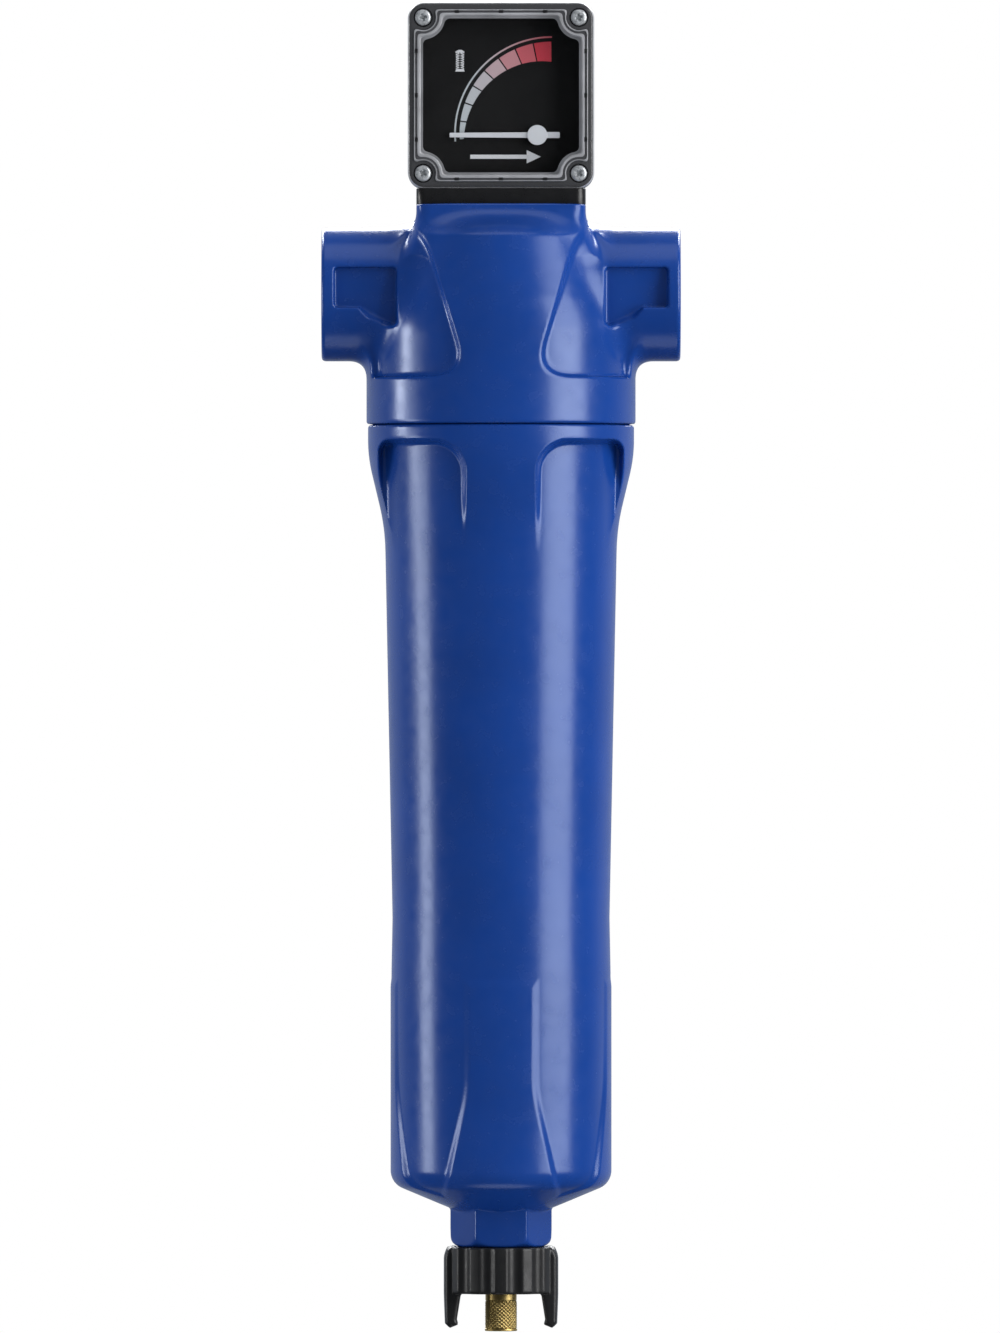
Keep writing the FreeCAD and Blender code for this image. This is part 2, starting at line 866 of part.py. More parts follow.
def gauge_case():
    """Square case, open to the front, with four screw bosses and a ledge for the dial."""
    half = gauge_half
    inner = case_inner_half
    floor_y = case_back_y - case_wall
    body = plate_xz(square(half, half, gauge_corner, gauge_centre_z), case_front_y, case_back_y)
    hollow = plate_xz(square(inner, inner, case_inner_corner, gauge_centre_z), case_front_y - 1, floor_y)
    bosses = [along_y(screw_boss_r, case_front_y, floor_y, x, z).common(body)
              for x, z in cover_screw_places()]
    ledge_back_y = dial_back_y + dial_ledge_thick
    ledge_half = inner - dial_ledge
    ledge = plate_xz(square(inner, inner, case_inner_corner, gauge_centre_z), dial_back_y, ledge_back_y)
    ledge = ledge.cut(plate_xz(square(ledge_half, ledge_half, dial_ledge_corner, gauge_centre_z),
                               dial_back_y - 1, ledge_back_y + 1))
    case = body.cut(hollow).fuse(bosses + [ledge])
    holes = [along_y(cover_screw_r, case_front_y - 1, case_front_y + cover_screw_hole_depth, x, z)
             for x, z in cover_screw_places()]
    holes.append(along_y(bearing_r, floor_y - 1, case_back_y + 1, hub_x, hub_z))
    for side in (-1, 1):
        holes.append(along_y(case_screw_r + screw_hole_gap, floor_y - 1, case_back_y + 1,
                             side * case_screw_x, case_screw_z))
    return case.cut(holes).removeSplitter()


def gauge_case_screws():
    screws = []
    inside_y = case_back_y - case_wall
    for side in (-1, 1):
        shank = along_y(case_screw_r, inside_y, inside_y + case_screw_length,
                        side * case_screw_x, case_screw_z)
        head = along_y(case_screw_head_r, inside_y - case_screw_head_height, inside_y,
                       side * case_screw_x, case_screw_z)
        screws.append(shank.fuse(head).removeSplitter())
    return screws


def window_face(grow, y0, y1):
    """The window's outline, which curves in round each screw, as a plate."""
    corners = square(window_half_x + grow, window_half_z + grow, window_corner, gauge_centre_z)
    plate = plate_xz(corners, y0, y1)
    reliefs = [along_y(dial_relief_r - grow, y0 - 1, y1 + 1, x, z) for x, z in cover_screw_places()]
    return plate.cut(reliefs)


def gauge_cover():
    """Clear cover: a shallow tray with a raised rim round the window."""
    half = gauge_half
    inner = case_inner_half
    tray = plate_xz(square(half, half, gauge_corner, gauge_centre_z), cover_front_y, gasket_front_y)
    hollow = plate_xz(square(inner, inner, case_inner_corner, gauge_centre_z),
                      cover_front_y + cover_wall, gasket_front_y + 1)
    posts = [along_y(screw_boss_r, cover_front_y, gasket_front_y, x, z).common(tray)
             for x, z in cover_screw_places()]
    rim_front_y = cover_front_y - window_rim_height
    rim = window_face(window_rim_width, rim_front_y, cover_front_y + window_rim_root)
    rim = rim.cut(window_face(0, rim_front_y - 1, cover_front_y + window_rim_root + 1))
    cover = tray.cut(hollow).fuse(posts + [rim])
    seat_y = cover_front_y + cover_screw_seat_depth
    holes = []
    for x, z in cover_screw_places():
        holes.append(along_y(cover_screw_r + screw_hole_gap, cover_front_y - 1, gasket_front_y + 1, x, z))
        holes.append(along_y(cover_screw_head_r + screw_head_gap, rim_front_y - 1, seat_y, x, z))
    return cover.cut(holes).removeSplitter()


def gauge_cover_gasket():
    half = gauge_half - gasket_inset
    inner = case_inner_half + gasket_overlap
    frame = plate_xz(square(half, half, gauge_corner, gauge_centre_z), gasket_front_y, case_front_y)
    frame = frame.cut(plate_xz(square(inner, inner, case_inner_corner, gauge_centre_z),
                               gasket_front_y - 1, case_front_y + 1))
    return frame


def gauge_cover_screws():
    seat_y = cover_front_y + cover_screw_seat_depth
    screws = []
    for x, z in cover_screw_places():
        shank = along_y(cover_screw_r, seat_y, seat_y + cover_screw_length, x, z)
        head = along_y(cover_screw_head_r, seat_y - cover_screw_head_height, seat_y, x, z)
        rim = [edge for edge in head.Edges
               if edge.Curve.TypeId == "Part::GeomCircle" and edge.BoundBox.YMax < seat_y - 1]
        head = head.makeFillet(cover_screw_head_round, rim)
        screws.append(shank.fuse(head).removeSplitter())
    return screws


def gauge_dial():
    plate = window_face(dial_border, dial_front_y, dial_back_y)
    hole = along_y(pointer_shaft_r + shaft_hole_gap, dial_front_y - 1, dial_back_y + 1, hub_x, hub_z)
    return plate.cut(hole)


def gauge_pointer():
    """Flat bar that tapers to its tip, with a disc over the shaft."""
    front = pointer_back_y - pointer_thick
    bar = plate_xz([
        (hub_x - pointer_length, hub_z - pointer_tip_width / 2, 0.3),
        (hub_x + pointer_tail, hub_z - pointer_root_width / 2, 0.4),
        (hub_x + pointer_tail, hub_z + pointer_root_width / 2, 0.4),
        (hub_x - pointer_length, hub_z + pointer_tip_width / 2, 0.3),
    ], front, pointer_back_y)
    hub = along_y(hub_r, pointer_back_y - hub_height, pointer_back_y, hub_x, hub_z)
    return bar.fuse(hub).removeSplitter()


def pointer_shaft():
    return along_y(pointer_shaft_r, pointer_back_y, case_back_y - bearing_end - shaft_end_gap, hub_x, hub_z)


def pointer_magnet_wheel():
    wheel_back_y = wheel_front_y + wheel_thick
    wheel = along_y(wheel_r, wheel_front_y, wheel_back_y, hub_x, hub_z)
    return wheel.cut(along_y(pointer_shaft_r, wheel_front_y - 1, wheel_back_y + 1, hub_x, hub_z))


def pointer_bearing():
    inside_y = case_back_y - case_wall
    bush = along_y(bearing_r, inside_y - bearing_proud, case_back_y, hub_x, hub_z)
    return bush.cut(along_y(pointer_shaft_r + bearing_gap, inside_y - bearing_proud - 1,
                            case_back_y - bearing_end, hub_x, hub_z))


def gauge_cylinder_liner():
    return along_x(liner_r, cylinder_end_x, spring_seat_x, cylinder_y, cylinder_z).cut([
        along_x(cylinder_bore_r, cylinder_end_x - 1, spring_seat_x + 1, cylinder_y, cylinder_z)]
        + [upright(gauge_port_r, cylinder_z - liner_r - 1, cylinder_z, place.x, place.y)
           for place in gauge_port_places()])


def gauge_cylinder_plug():
    radius = liner_r - layer_gap
    plug = along_x(radius, spring_seat_x, block_half_x, cylinder_y, cylinder_z)
    slot = block(block_half_x - plug_slot_depth, block_half_x + 1,
                 cylinder_y - liner_r, cylinder_y + liner_r,
                 cylinder_z - plug_slot_width / 2, cylinder_z + plug_slot_width / 2)
    return plug.cut([slot, groove_along_x(radius, plug_ring_section, plug_ring_x())]).removeSplitter()


def plug_ring_x():
    return spring_seat_x + plug_ring_section / 2 + 2 * ring_side_gap


def gauge_plug_o_ring():
    return ring_along_x(liner_r - layer_gap, plug_ring_section, plug_ring_x())


def ring_along_x(outer_r, section, x):
    """O-ring round a piece on the measuring cylinder's axis."""
    proud = min(ring_proud, layer_gap / 2)
    centre = V(x, cylinder_y, cylinder_z)
    return Part.makeTorus(outer_r + proud - section / 2, section / 2, centre, V(1, 0, 0))


def groove_along_x(outer_r, section, x):
    """Cutter for that ring's groove."""
    proud = min(ring_proud, layer_gap / 2)
    half = section / 2 + ring_side_gap
    groove = along_x(outer_r + 1, x - half, x + half, cylinder_y, cylinder_z)
    return groove.cut(along_x(outer_r + proud - section - ring_floor_gap, x - half, x + half,
                              cylinder_y, cylinder_z))


def gauge_piston():
    radius = cylinder_bore_r - slide_gap
    piston = along_x(radius, piston_start_x, piston_end_x, cylinder_y, cylinder_z)
    pocket = along_x(magnet_r, piston_end_x - magnet_length, piston_end_x + 1, cylinder_y, cylinder_z)
    return piston.cut([pocket, groove_along_x(radius, piston_ring_section, piston_ring_x())])


def piston_ring_x():
    return piston_start_x + piston_ring_share * piston_length


def piston_magnet():
    return along_x(magnet_r - layer_gap, piston_end_x - magnet_length, piston_end_x, cylinder_y, cylinder_z)


def piston_seal():
    return ring_along_x(cylinder_bore_r - slide_gap, piston_ring_section, piston_ring_x())


def gauge_spring():
    """Return spring between the piston and the plug, as a stack of turns."""
    start = piston_end_x + seat_gap
    length = spring_seat_x - start - spring_wire
    pitch = length / spring_turns
    helix = Part.makeHelix(pitch, length, spring_r)
    profile = Part.Wire(Part.makeCircle(spring_wire / 2, V(spring_r, 0, 0), V(0, 1, 0)))
    coil = Part.Wire(helix).makePipeShell([profile], True, True)
    coil.rotate(V(0, 0, 0), V(0, 1, 0), 90)
    coil.translate(V(start + spring_wire / 2, cylinder_y, cylinder_z))
    return coil


# Drain

def drain_body():
    """Flange inside the bowl, stem through the foot and a thread for the grip nut."""
    body = turned([
        (0, drain_thread_end_z, 0), (drain_thread_r, drain_thread_end_z, 0.6),
        (drain_thread_r, hex_bottom_z, 0), (drain_stem_r, hex_bottom_z, 0),
        (drain_stem_r, bowl_floor_z, 0), (drain_flange_r, bowl_floor_z, 0),
        (drain_flange_r, flange_top_z, 0.8), (drain_tower_r, flange_top_z, 1),
        (drain_tower_r, tower_top_z, 0.6),
        (0, tower_top_z, 0),
    ])
    ears = []
    for side in (-1, 1):
        inner = side * (lever_half_width + ear_gap)
        outer = side * (lever_half_width + ear_gap + ear_thick)
        low, high = min(inner, outer), max(inner, outer)
        ears.append(block(lever_pivot_x - ear_r, lever_pivot_x + ear_r, low, high, flange_top_z - 1, lever_z)
                    .fuse(along_y(ear_r, low, high, lever_pivot_x, lever_z)))
    seat_floor = tower_top_z - valve_seat_sunk
    half = drain_ring_section / 2 + ring_side_gap
    groove = tube(drain_ring_r + half, drain_ring_r - half,
                  bowl_floor_z - 1, bowl_floor_z + drain_ring_section)
    return body.fuse(ears).cut([
        upright(spout_thread_r + spout_thread_gap, drain_thread_end_z - 1, spout_top_z + 1),
        upright(spout_bore_r, spout_top_z, seat_floor + 1),
        upright(valve_seat_r, seat_floor, tower_top_z + 1),
        along_y(lever_pin_r, -ear_outer_y() - 1, ear_outer_y() + 1, lever_pivot_x, lever_z),
        groove,
    ]).removeSplitter()


def ear_outer_y():
    return lever_half_width + ear_gap + ear_thick


def drain_body_o_ring():
    return ring(drain_ring_r, drain_ring_section, bowl_floor_z + drain_ring_section / 2)


def drain_valve_seat():
    low = tower_top_z - valve_seat_sunk
    return turned([
        (valve_seat_bore, low, 0),
        (valve_seat_r - layer_gap, low, 0),
        (valve_seat_r - layer_gap, seat_top_z - valve_seat_cone, 0),
        (valve_seat_bore + valve_seat_lip, seat_top_z, 0),
        (valve_seat_bore, seat_top_z, 0),
    ])


def drain_cage():
    """Inverted cup over the float, with slots that let the water in."""
    cage = upright(cage_r, flange_top_z, cage_roof_z).cut(
        upright(cage_r - cage_wall, flange_top_z - 1, cage_roof_z - cage_wall))
    cuts = [upright(cage_vent_r, cage_roof_z - cage_wall - 1, cage_roof_z + 1)]
    for i in range(cage_windows // 2):
        window = block(-cage_r - 2, cage_r + 2, -cage_window_width / 2, cage_window_width / 2,
                       flange_top_z + cage_window_foot, float_bottom_z + cage_window_rise)
        window.rotate(V(0, 0, 0), V(0, 0, 1), 360 / cage_windows * (i + 0.5))
        cuts.append(window)
    return cage.cut(cuts)


def drain_lever_pin():
    return along_y(lever_pin_r, -ear_outer_y(), ear_outer_y(), lever_pivot_x, lever_z)


def drain_lever():
    arm = block(lever_pivot_x, lever_tip_x, -lever_half_width, lever_half_width,
                lever_z - lever_thick / 2, lever_z + lever_thick / 2)
    hub = along_y(lever_hub_r, -lever_half_width, lever_half_width, lever_pivot_x, lever_z)
    reach = lever_half_width + ear_gap + clevis_thick
    tip = along_y(lever_thick / 2, -reach, reach, lever_tip_x, lever_z)
    hole = along_y(lever_pin_r + bearing_gap, -reach, reach, lever_pivot_x, lever_z)
    return arm.fuse([hub, tip]).cut(hole).removeSplitter()


def drain_valve_plug():
    """Rubber pad under the lever that closes the seat."""
    return upright(plug_r, seat_top_z + seat_gap, lever_z - lever_thick / 2)


def drain_float():
    """Inverted cup that traps air, with two cheeks that lift the lever's tip."""
    cup = turned([
        (0, float_top_z, 0),
        (float_r, float_top_z, float_round),
        (float_r, float_bottom_z, 0),
        (float_r - float_wall, float_bottom_z, 0),
        (float_r - float_wall, float_top_z - float_wall, float_round / 2),
        (0, float_top_z - float_wall, 0),
    ])
    cheeks = []
    for side in (-1, 1):
        inner = side * (lever_half_width + ear_gap)
        outer = side * (lever_half_width + ear_gap + clevis_thick)
        low, high = min(inner, outer), max(inner, outer)
        cheek = block(lever_tip_x - clevis_back, float_r, low, high,
                      lever_z - clevis_foot, float_bottom_z + clevis_overlap)
        hole = block(lever_tip_x - clevis_slot_back, lever_tip_x + clevis_slot_front, low - 1, high + 1,
                     lever_z - lever_thick / 2 - seat_gap, lever_z + lever_thick / 2 + seat_gap)
        cheeks.append(cheek.cut(hole).common(upright(float_r - float_wall / 3, bowl_floor_z, float_top_z)))
    return cup.fuse(cheeks).removeSplitter()


def wing(side):
    """One wing: a lug up the nut's side that goes on as a leg with a hooked foot."""
    top = nut_top_z + wing_rise
    leg = plate_xz([
        (side * wing_inner_r, top, wing_round),
        (side * wing_r, top, wing_round),
        (side * wing_r, nut_bottom_z, 0),
        (side * (wing_r - wing_taper), wing_foot_z + wing_hook_height, wing_round),
        (side * (wing_foot_inner_r + wing_foot_thick), wing_foot_z, wing_hook_round),
        (side * (wing_foot_inner_r - wing_hook), wing_foot_z + wing_hook_height - wing_hook,
         wing_hook_round),
        (side * wing_foot_inner_r, wing_foot_z + wing_hook_height + wing_hook_rise, wing_hook_round),
        (side * (wing_inner_r + wing_taper), nut_bottom_z, wing_root_round),
        (side * wing_inner_r, nut_bottom_z, 0),
    ], -wing_half_width, wing_half_width)
    return leg.common(upright(wing_r, wing_foot_z - 1, top + 1))


def drain_wing_nut():
    nut = turned([
        (0, nut_bottom_z, 0),
        (nut_r, nut_bottom_z, nut_edge),
        (nut_r, nut_top_z, nut_edge),
        (0, nut_top_z, 0),
    ])
    flutes = []
    for i in range(nut_flutes):
        angle = math.radians(360 / nut_flutes * (i + 0.5))
        reach = nut_r + flute_r - flute_depth
        flutes.append(upright(flute_r, nut_bottom_z - 1, nut_top_z + 1,
                              reach * math.cos(angle), reach * math.sin(angle)))
    body = nut.cut(flutes).fuse([wing(-1), wing(1)])
    recess_top = nut_top_z + wing_rise + 1
    recess = turned([
        (0, nut_top_z, 0),
        (hex_face_r + nut_recess_gap, nut_top_z, 0),
        (hex_corner_r + nut_recess_gap + nut_recess_flare, recess_top, 0),
        (0, recess_top, 0),
    ])
    bore = upright(drain_thread_r + nut_bore_gap, nut_bottom_z - 1, recess_top)
    return body.cut([recess, bore]).removeSplitter()


def drain_spout():
    neck_top = drain_thread_end_z - seat_gap
    thread_end = spout_top_z - 1
    low = spout_end_z
    return turned([
        (spout_bore_r, thread_end, 0),
        (spout_thread_r, thread_end, spout_edge),
        (spout_thread_r, neck_top, 0),
        (spout_r, neck_top, 0),
        (spout_r, neck_top - spout_neck, 0),
        (spout_foot_r, low, spout_edge),
        (hose_thread_r, low, 0),
        (hose_thread_r, low + hose_thread_depth, 0),
        (spout_bore_r, low + hose_thread_depth + spout_drill_cone, 0),
    ]).cut(ring_groove(spout_thread_r, spout_ring_section, spout_ring_z))


def spout_o_ring():
    return seated_ring(spout_thread_r, spout_ring_section, spout_ring_z)


def main():
    os.makedirs("parts", exist_ok=True)
    save("filter_head", filter_head())
    save("filter_bowl", filter_bowl())
    save("bowl_o_ring", bowl_o_ring())
    save("element_top_cap", element_top_cap())
    rings = [seated_ring(spigot_r, element_ring_section, z) for z in element_ring_heights()]
    save("element_o_rings", *rings)
    low = element_bottom_z + cap_thick
    high = element_top_z - cap_thick
    save("element_inner_core", slotted_core(inner_core_r, low, high))
    save("element_media", tube(media_outer_r, media_r, low, high))
    save("element_outer_core", slotted_core(outer_core_r, low, high))
    save("element_foam_sleeve", tube(foam_outer_r, foam_r, low, high))
    save("element_bottom_cap", element_bottom_cap())
    save("gauge_block", gauge_block())
    save("gauge_port_o_rings", *gauge_port_o_rings())
    save("gauge_mount_screws", *gauge_mount_screws())
    save("gauge_case", gauge_case())
    save("gauge_case_screws", *gauge_case_screws())
    save("gauge_cover", gauge_cover())
    save("gauge_cover_gasket", gauge_cover_gasket())
    save("gauge_cover_screws", *gauge_cover_screws())
    save("gauge_dial", gauge_dial())
    save("gauge_pointer", gauge_pointer())
    save("pointer_shaft", pointer_shaft())
    save("pointer_magnet_wheel", pointer_magnet_wheel())
    save("pointer_bearing", pointer_bearing())
    save("gauge_cylinder_liner", gauge_cylinder_liner())
    save("gauge_cylinder_plug", gauge_cylinder_plug())
    save("gauge_plug_o_ring", gauge_plug_o_ring())
    save("gauge_piston", gauge_piston())
    save("piston_magnet", piston_magnet())
    save("piston_seal", piston_seal())
    save("gauge_spring", gauge_spring())
    save("drain_body", drain_body())
    save("drain_body_o_ring", drain_body_o_ring())
    save("drain_valve_seat", drain_valve_seat())
    save("drain_cage", drain_cage())
    save("drain_lever_pin", drain_lever_pin())
    save("drain_lever", drain_lever())
    save("drain_valve_plug", drain_valve_plug())
    save("drain_float", drain_float())
    save("drain_wing_nut", drain_wing_nut())
    save("drain_spout", drain_spout())
    save("spout_o_ring", spout_o_ring())


main()
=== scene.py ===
import math

import bmesh
import bpy
import numpy as np
from bpy.props import FloatProperty, FloatVectorProperty, IntProperty, PointerProperty
from mathutils import Matrix, Vector


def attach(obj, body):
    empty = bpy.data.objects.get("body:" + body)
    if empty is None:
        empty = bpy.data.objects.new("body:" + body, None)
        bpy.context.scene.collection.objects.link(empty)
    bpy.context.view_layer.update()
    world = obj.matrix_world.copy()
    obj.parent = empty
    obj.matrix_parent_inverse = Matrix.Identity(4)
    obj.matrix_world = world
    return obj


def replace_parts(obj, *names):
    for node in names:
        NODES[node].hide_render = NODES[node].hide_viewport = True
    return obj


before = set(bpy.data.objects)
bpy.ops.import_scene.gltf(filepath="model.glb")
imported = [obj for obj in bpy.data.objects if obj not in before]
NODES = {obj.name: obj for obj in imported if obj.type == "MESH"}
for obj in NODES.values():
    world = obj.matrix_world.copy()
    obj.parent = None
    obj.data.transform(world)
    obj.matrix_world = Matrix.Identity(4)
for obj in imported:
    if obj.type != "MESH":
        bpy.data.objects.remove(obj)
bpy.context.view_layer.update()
MM = 0.001

bl_info = {
    "name": "Compressed air filter",
    "version": (1, 0, 0),
    "blender": (4, 5, 0),
    "location": "3D View > Sidebar > Air filter",
    "description": "Builds the casting skins, gauge, drain fittings and studio of a compressed air filter",
    "category": "Object",
}


# Sizes and colours that a user would change

def distance(name, description, default, subtype="DISTANCE", unit="LENGTH"):
    return FloatProperty(name=name, description=description, default=default, subtype=subtype, unit=unit)


def lamp_power(name, description, default):
    return distance(name, description, default, "POWER", "POWER")


def surface_colour(name, description, default):
    return FloatVectorProperty(name=name, description=description, default=default, subtype="COLOR",
                               min=0.0, max=1.0)


class FilterSizes(bpy.types.PropertyGroup):
    skin_cell: distance("Casting grain", "Edge length of the head casting's faces", 0.00085)
    nut_cell: distance("Grip nut grain", "Edge length of the grip nut's faces", 0.0005)
    pipe_thread_pitch: distance("Pipe thread pitch", "Distance between two turns of the port threads", 0.002309)
    bowl_thread_pitch: distance("Bowl thread pitch", "Distance between two turns of the bowl's thread", 0.003)
    knurl_count: IntProperty(
        name="Knurl ridges", description="Ridges round the brass spout, each way", default=26)
    knurl_depth: distance("Knurl depth", "Height of the ridges on the brass spout", 0.00038)
    scale_segments: IntProperty(
        name="Scale segments", description="Coloured segments on the dial", default=8)
    scale_gap: distance("Scale gap", "Dark line between two segments of the dial", math.radians(0.9),
                        "ANGLE", "ROTATION")
    tab_width: distance("Tab width", "Width of the small tabs on the window's rim", 0.0017)


class FilterColours(bpy.types.PropertyGroup):
    coat: surface_colour("Powder coat", "Blue of the head and bowl", (0.0065, 0.047, 0.262))
    coat_roughness: FloatProperty(
        name="Coat roughness", description="Gloss of the powder coat", default=0.24, subtype="FACTOR",
        min=0.0, max=1.0)
    case: surface_colour("Gauge case", "Black of the gauge's case and base", (0.012, 0.012, 0.013))
    nut: surface_colour("Grip nut", "Dark grey of the drain's grip nut", (0.014, 0.014, 0.015))
    brass: surface_colour("Brass", "Colour of the drain spout", (0.68, 0.51, 0.2))
    low_scale: surface_colour("Scale start", "Ink of the dial's first segment", (0.55, 0.59, 0.61))
    high_scale: surface_colour("Scale end", "Ink of the dial's last segment", (0.68, 0.042, 0.07))


class FilterStudio(bpy.types.PropertyGroup):
    left_power: lamp_power("Left softbox", "Power of the narrow left softbox", 4.7)
    head_power: lamp_power(
        "Head softboxes", "Power of the small left softbox beside the head, twice the right one's", 3.6)
    right_power: lamp_power("Right softbox", "Power of the wide right softbox", 47.0)
    top_power: lamp_power("Top softbox", "Power of the overhead softbox", 4.0)
    back_power: lamp_power("Back softbox", "Power of the high strip behind the filter", 60.0)
    rim_power: lamp_power(
        "Rim softboxes", "Power of each of the two small softboxes high behind the filter", 22.0)
    camera_distance: distance("Camera distance", "From the filter's axis to the camera", 9.0)
    camera_height: distance("Camera height", "Height of the camera beside the pipe line", -0.1451)
    lens: distance("Lens", "Focal length that frames the filter", 622.8, "DISTANCE_CAMERA", "CAMERA")


# Materials

class Finish:
    """A material and short ways to add its nodes."""

    def __init__(self, name):
        self.material = bpy.data.materials.new(name)
        self.material.use_nodes = True
        self.nodes = self.material.node_tree.nodes
        self.links = self.material.node_tree.links
        self.surface = self.nodes["Principled BSDF"]
        self.output = self.nodes["Material Output"]
        self.place = self.nodes.new("ShaderNodeTexCoord").outputs["Object"]

    def set(self, **values):
        for key, value in values.items():
            self.surface.inputs[key.replace("_", " ")].default_value = value
        return self

    def link(self, source, target):
        self.links.new(source, target)

    def scaled(self, x, y, z):
        node = self.nodes.new("ShaderNodeMapping")
        node.inputs["Scale"].default_value = (x, y, z)
        self.link(self.place, node.inputs["Vector"])
        return node.outputs["Vector"]

    def noise(self, scale, detail=3.0, where=None):
        node = self.nodes.new("ShaderNodeTexNoise")
        node.inputs["Scale"].default_value = scale
        node.inputs["Detail"].default_value = detail
        self.link(where or self.place, node.inputs["Vector"])
        return node.outputs["Fac"]

    def cells(self, scale):
        node = self.nodes.new("ShaderNodeTexVoronoi")
        node.inputs["Scale"].default_value = scale
        self.link(self.place, node.inputs["Vector"])
        return node.outputs["Distance"]

    def remap(self, source, low, high, from_low=0.3, from_high=0.7):
        node = self.nodes.new("ShaderNodeMapRange")
        for name, value in (("From Min", from_low), ("From Max", from_high), ("To Min", low), ("To Max", high)):
            node.inputs[name].default_value = value
        self.link(source, node.inputs["Value"])
        return node.outputs["Result"]

    def ramp(self, source, *stops):
        node = self.nodes.new("ShaderNodeValToRGB")
        elements = node.color_ramp.elements
        while len(elements) < len(stops):
            elements.new(0.5)
        for element, (position, colour) in zip(elements, stops):
            element.position = position
            element.color = (*colour, 1)
        self.link(source, node.inputs["Fac"])
        return node.outputs["Color"]

    def bump(self, height, distance, strength, under=None):
        node = self.nodes.new("ShaderNodeBump")
        node.inputs["Strength"].default_value = strength
        node.inputs["Distance"].default_value = distance
        self.link(height, node.inputs["Height"])
        if under:
            self.link(under, node.inputs["Normal"])
        return node.outputs["Normal"]

    def coloured(self, source):
        self.link(source, self.surface.inputs["Base Color"])

    def mottled(self, texture, dark, light):
        """Base colour that drifts between two shades."""
        self.coloured(self.ramp(texture, (0.3, dark), (0.7, light)))

    def rough(self, texture, low, high):
        """Roughness that drifts between two levels."""
        self.link(self.remap(texture, low, high), self.surface.inputs["Roughness"])

    def grained(self, texture, distance, strength, under=None):
        """The material, with its surface raised by a texture."""
        self.link(self.bump(texture, distance, strength, under), self.surface.inputs["Normal"])
        return self.material


def shade(colour, factor):
    return tuple(min(1.0, c * factor) for c in colour)


def powder_coat(name, colours):
    """Blue powder coat with fine orange peel and small changes of gloss."""
    finish = Finish(name)
    blue, level = tuple(colours.coat), colours.coat_roughness
    finish.set(Coat_Weight=0.03, Coat_Roughness=0.16, Specular_IOR_Level=0.66,
               Specular_Tint=(0.68, 0.79, 1.0, 1))
    finish.mottled(finish.noise(26, 4), shade(blue, 0.93), shade(blue, 1.07))
    finish.rough(finish.noise(160, 4), level - 0.03, level + 0.05)
    return finish.grained(finish.noise(420, 2), 0.00004, 0.25)


def moulded_black(name, colour, roughness, grain=1800, depth=0.00003):
    """Moulded plastic with an eroded grain."""
    finish = Finish(name)
    finish.set(Specular_IOR_Level=0.5)
    finish.mottled(finish.noise(40), shade(colour, 0.85), shade(colour, 1.15))
    finish.rough(finish.noise(300), roughness - 0.05, roughness + 0.07)
    return finish.grained(finish.cells(grain), depth, 0.5)


def clear_pane(name, tint, gloss_roughness, share, haze):
    """Clear plastic: tinted light straight through, with gloss that grows towards the edge of view."""
    finish = Finish(name)
    through = finish.nodes.new("ShaderNodeBsdfTransparent")
    through.inputs["Color"].default_value = (*tint, 1)
    finish.set(Base_Color=(*shade(tint, haze), 1), Roughness=gloss_roughness, IOR=1.58)
    finish.grained(finish.noise(60, 2), 0.00006, 0.12)
    facing = finish.nodes.new("ShaderNodeLayerWeight")
    facing.inputs["Blend"].default_value = 0.5
    edge = finish.nodes.new("ShaderNodeMath")
    edge.operation = "POWER"
    edge.inputs[1].default_value = 5.0
    finish.link(facing.outputs["Facing"], edge.inputs[0])
    mix = finish.nodes.new("ShaderNodeMixShader")
    finish.link(finish.remap(edge.outputs[0], share, 1.0, 0.0, 1.0), mix.inputs["Fac"])
    finish.link(through.outputs["BSDF"], mix.inputs[1])
    finish.link(finish.surface.outputs["BSDF"], mix.inputs[2])
    finish.link(mix.outputs["Shader"], finish.output.inputs["Surface"])
    return finish.material


def rim_painted_highlight():
    """Edge of the clear plastic in a light grey: a painted highlight where the edge catches light."""
    finish = Finish("rim_painted_highlight")
    finish.set(Roughness=0.3, IOR=1.55, Coat_Weight=0.5, Coat_Roughness=0.1)
    finish.mottled(finish.noise(90), (0.27, 0.27, 0.28), (0.42, 0.42, 0.44))
    return finish.grained(finish.noise(500, 2), 0.00004, 0.1)


def dial_black():
    """Matt black printed dial with a little dust."""
    finish = Finish("dial_black")
    finish.set(Specular_IOR_Level=0.4)
    finish.mottled(finish.noise(30), (0.006, 0.006, 0.0068), (0.0095, 0.0095, 0.01))
    finish.rough(finish.noise(220), 0.48, 0.6)
    return finish.grained(finish.noise(3200, 2), 0.00001, 0.3)


def scale_ink():
    """Printed ink in the colour that each segment carries."""
    finish = Finish("scale_ink")
    ink = finish.nodes.new("ShaderNodeAttribute")
    ink.attribute_name = "ink"
    finish.coloured(ink.outputs["Color"])
    finish.rough(finish.noise(700), 0.42, 0.56)
    return finish.grained(finish.noise(2500, 2), 0.00001, 0.35)


def pale_plastic(name, colour, roughness):
    """Pale moulded plastic that lets a little light in."""
    finish = Finish(name)
    finish.set(Specular_IOR_Level=0.45, Subsurface_Weight=0.05)
    finish.mottled(finish.noise(60), shade(colour, 0.95), shade(colour, 1.04))
    finish.rough(finish.noise(400), roughness - 0.04, roughness + 0.06)
    return finish.grained(finish.noise(1500, 2), 0.00001, 0.3)


def bare_metal(name, colour, roughness, scratches):
    """Metal with fine tool marks along the given stretch."""
    finish = Finish(name)
    finish.set(Metallic=1.0)
    marks = finish.noise(1.0, 4, finish.scaled(*scratches))
    finish.mottled(finish.noise(90, 4), shade(colour, 0.86), shade(colour, 1.08))
    finish.rough(marks, roughness - 0.07, roughness + 0.1)
    return finish.grained(marks, 0.00002, 0.4)


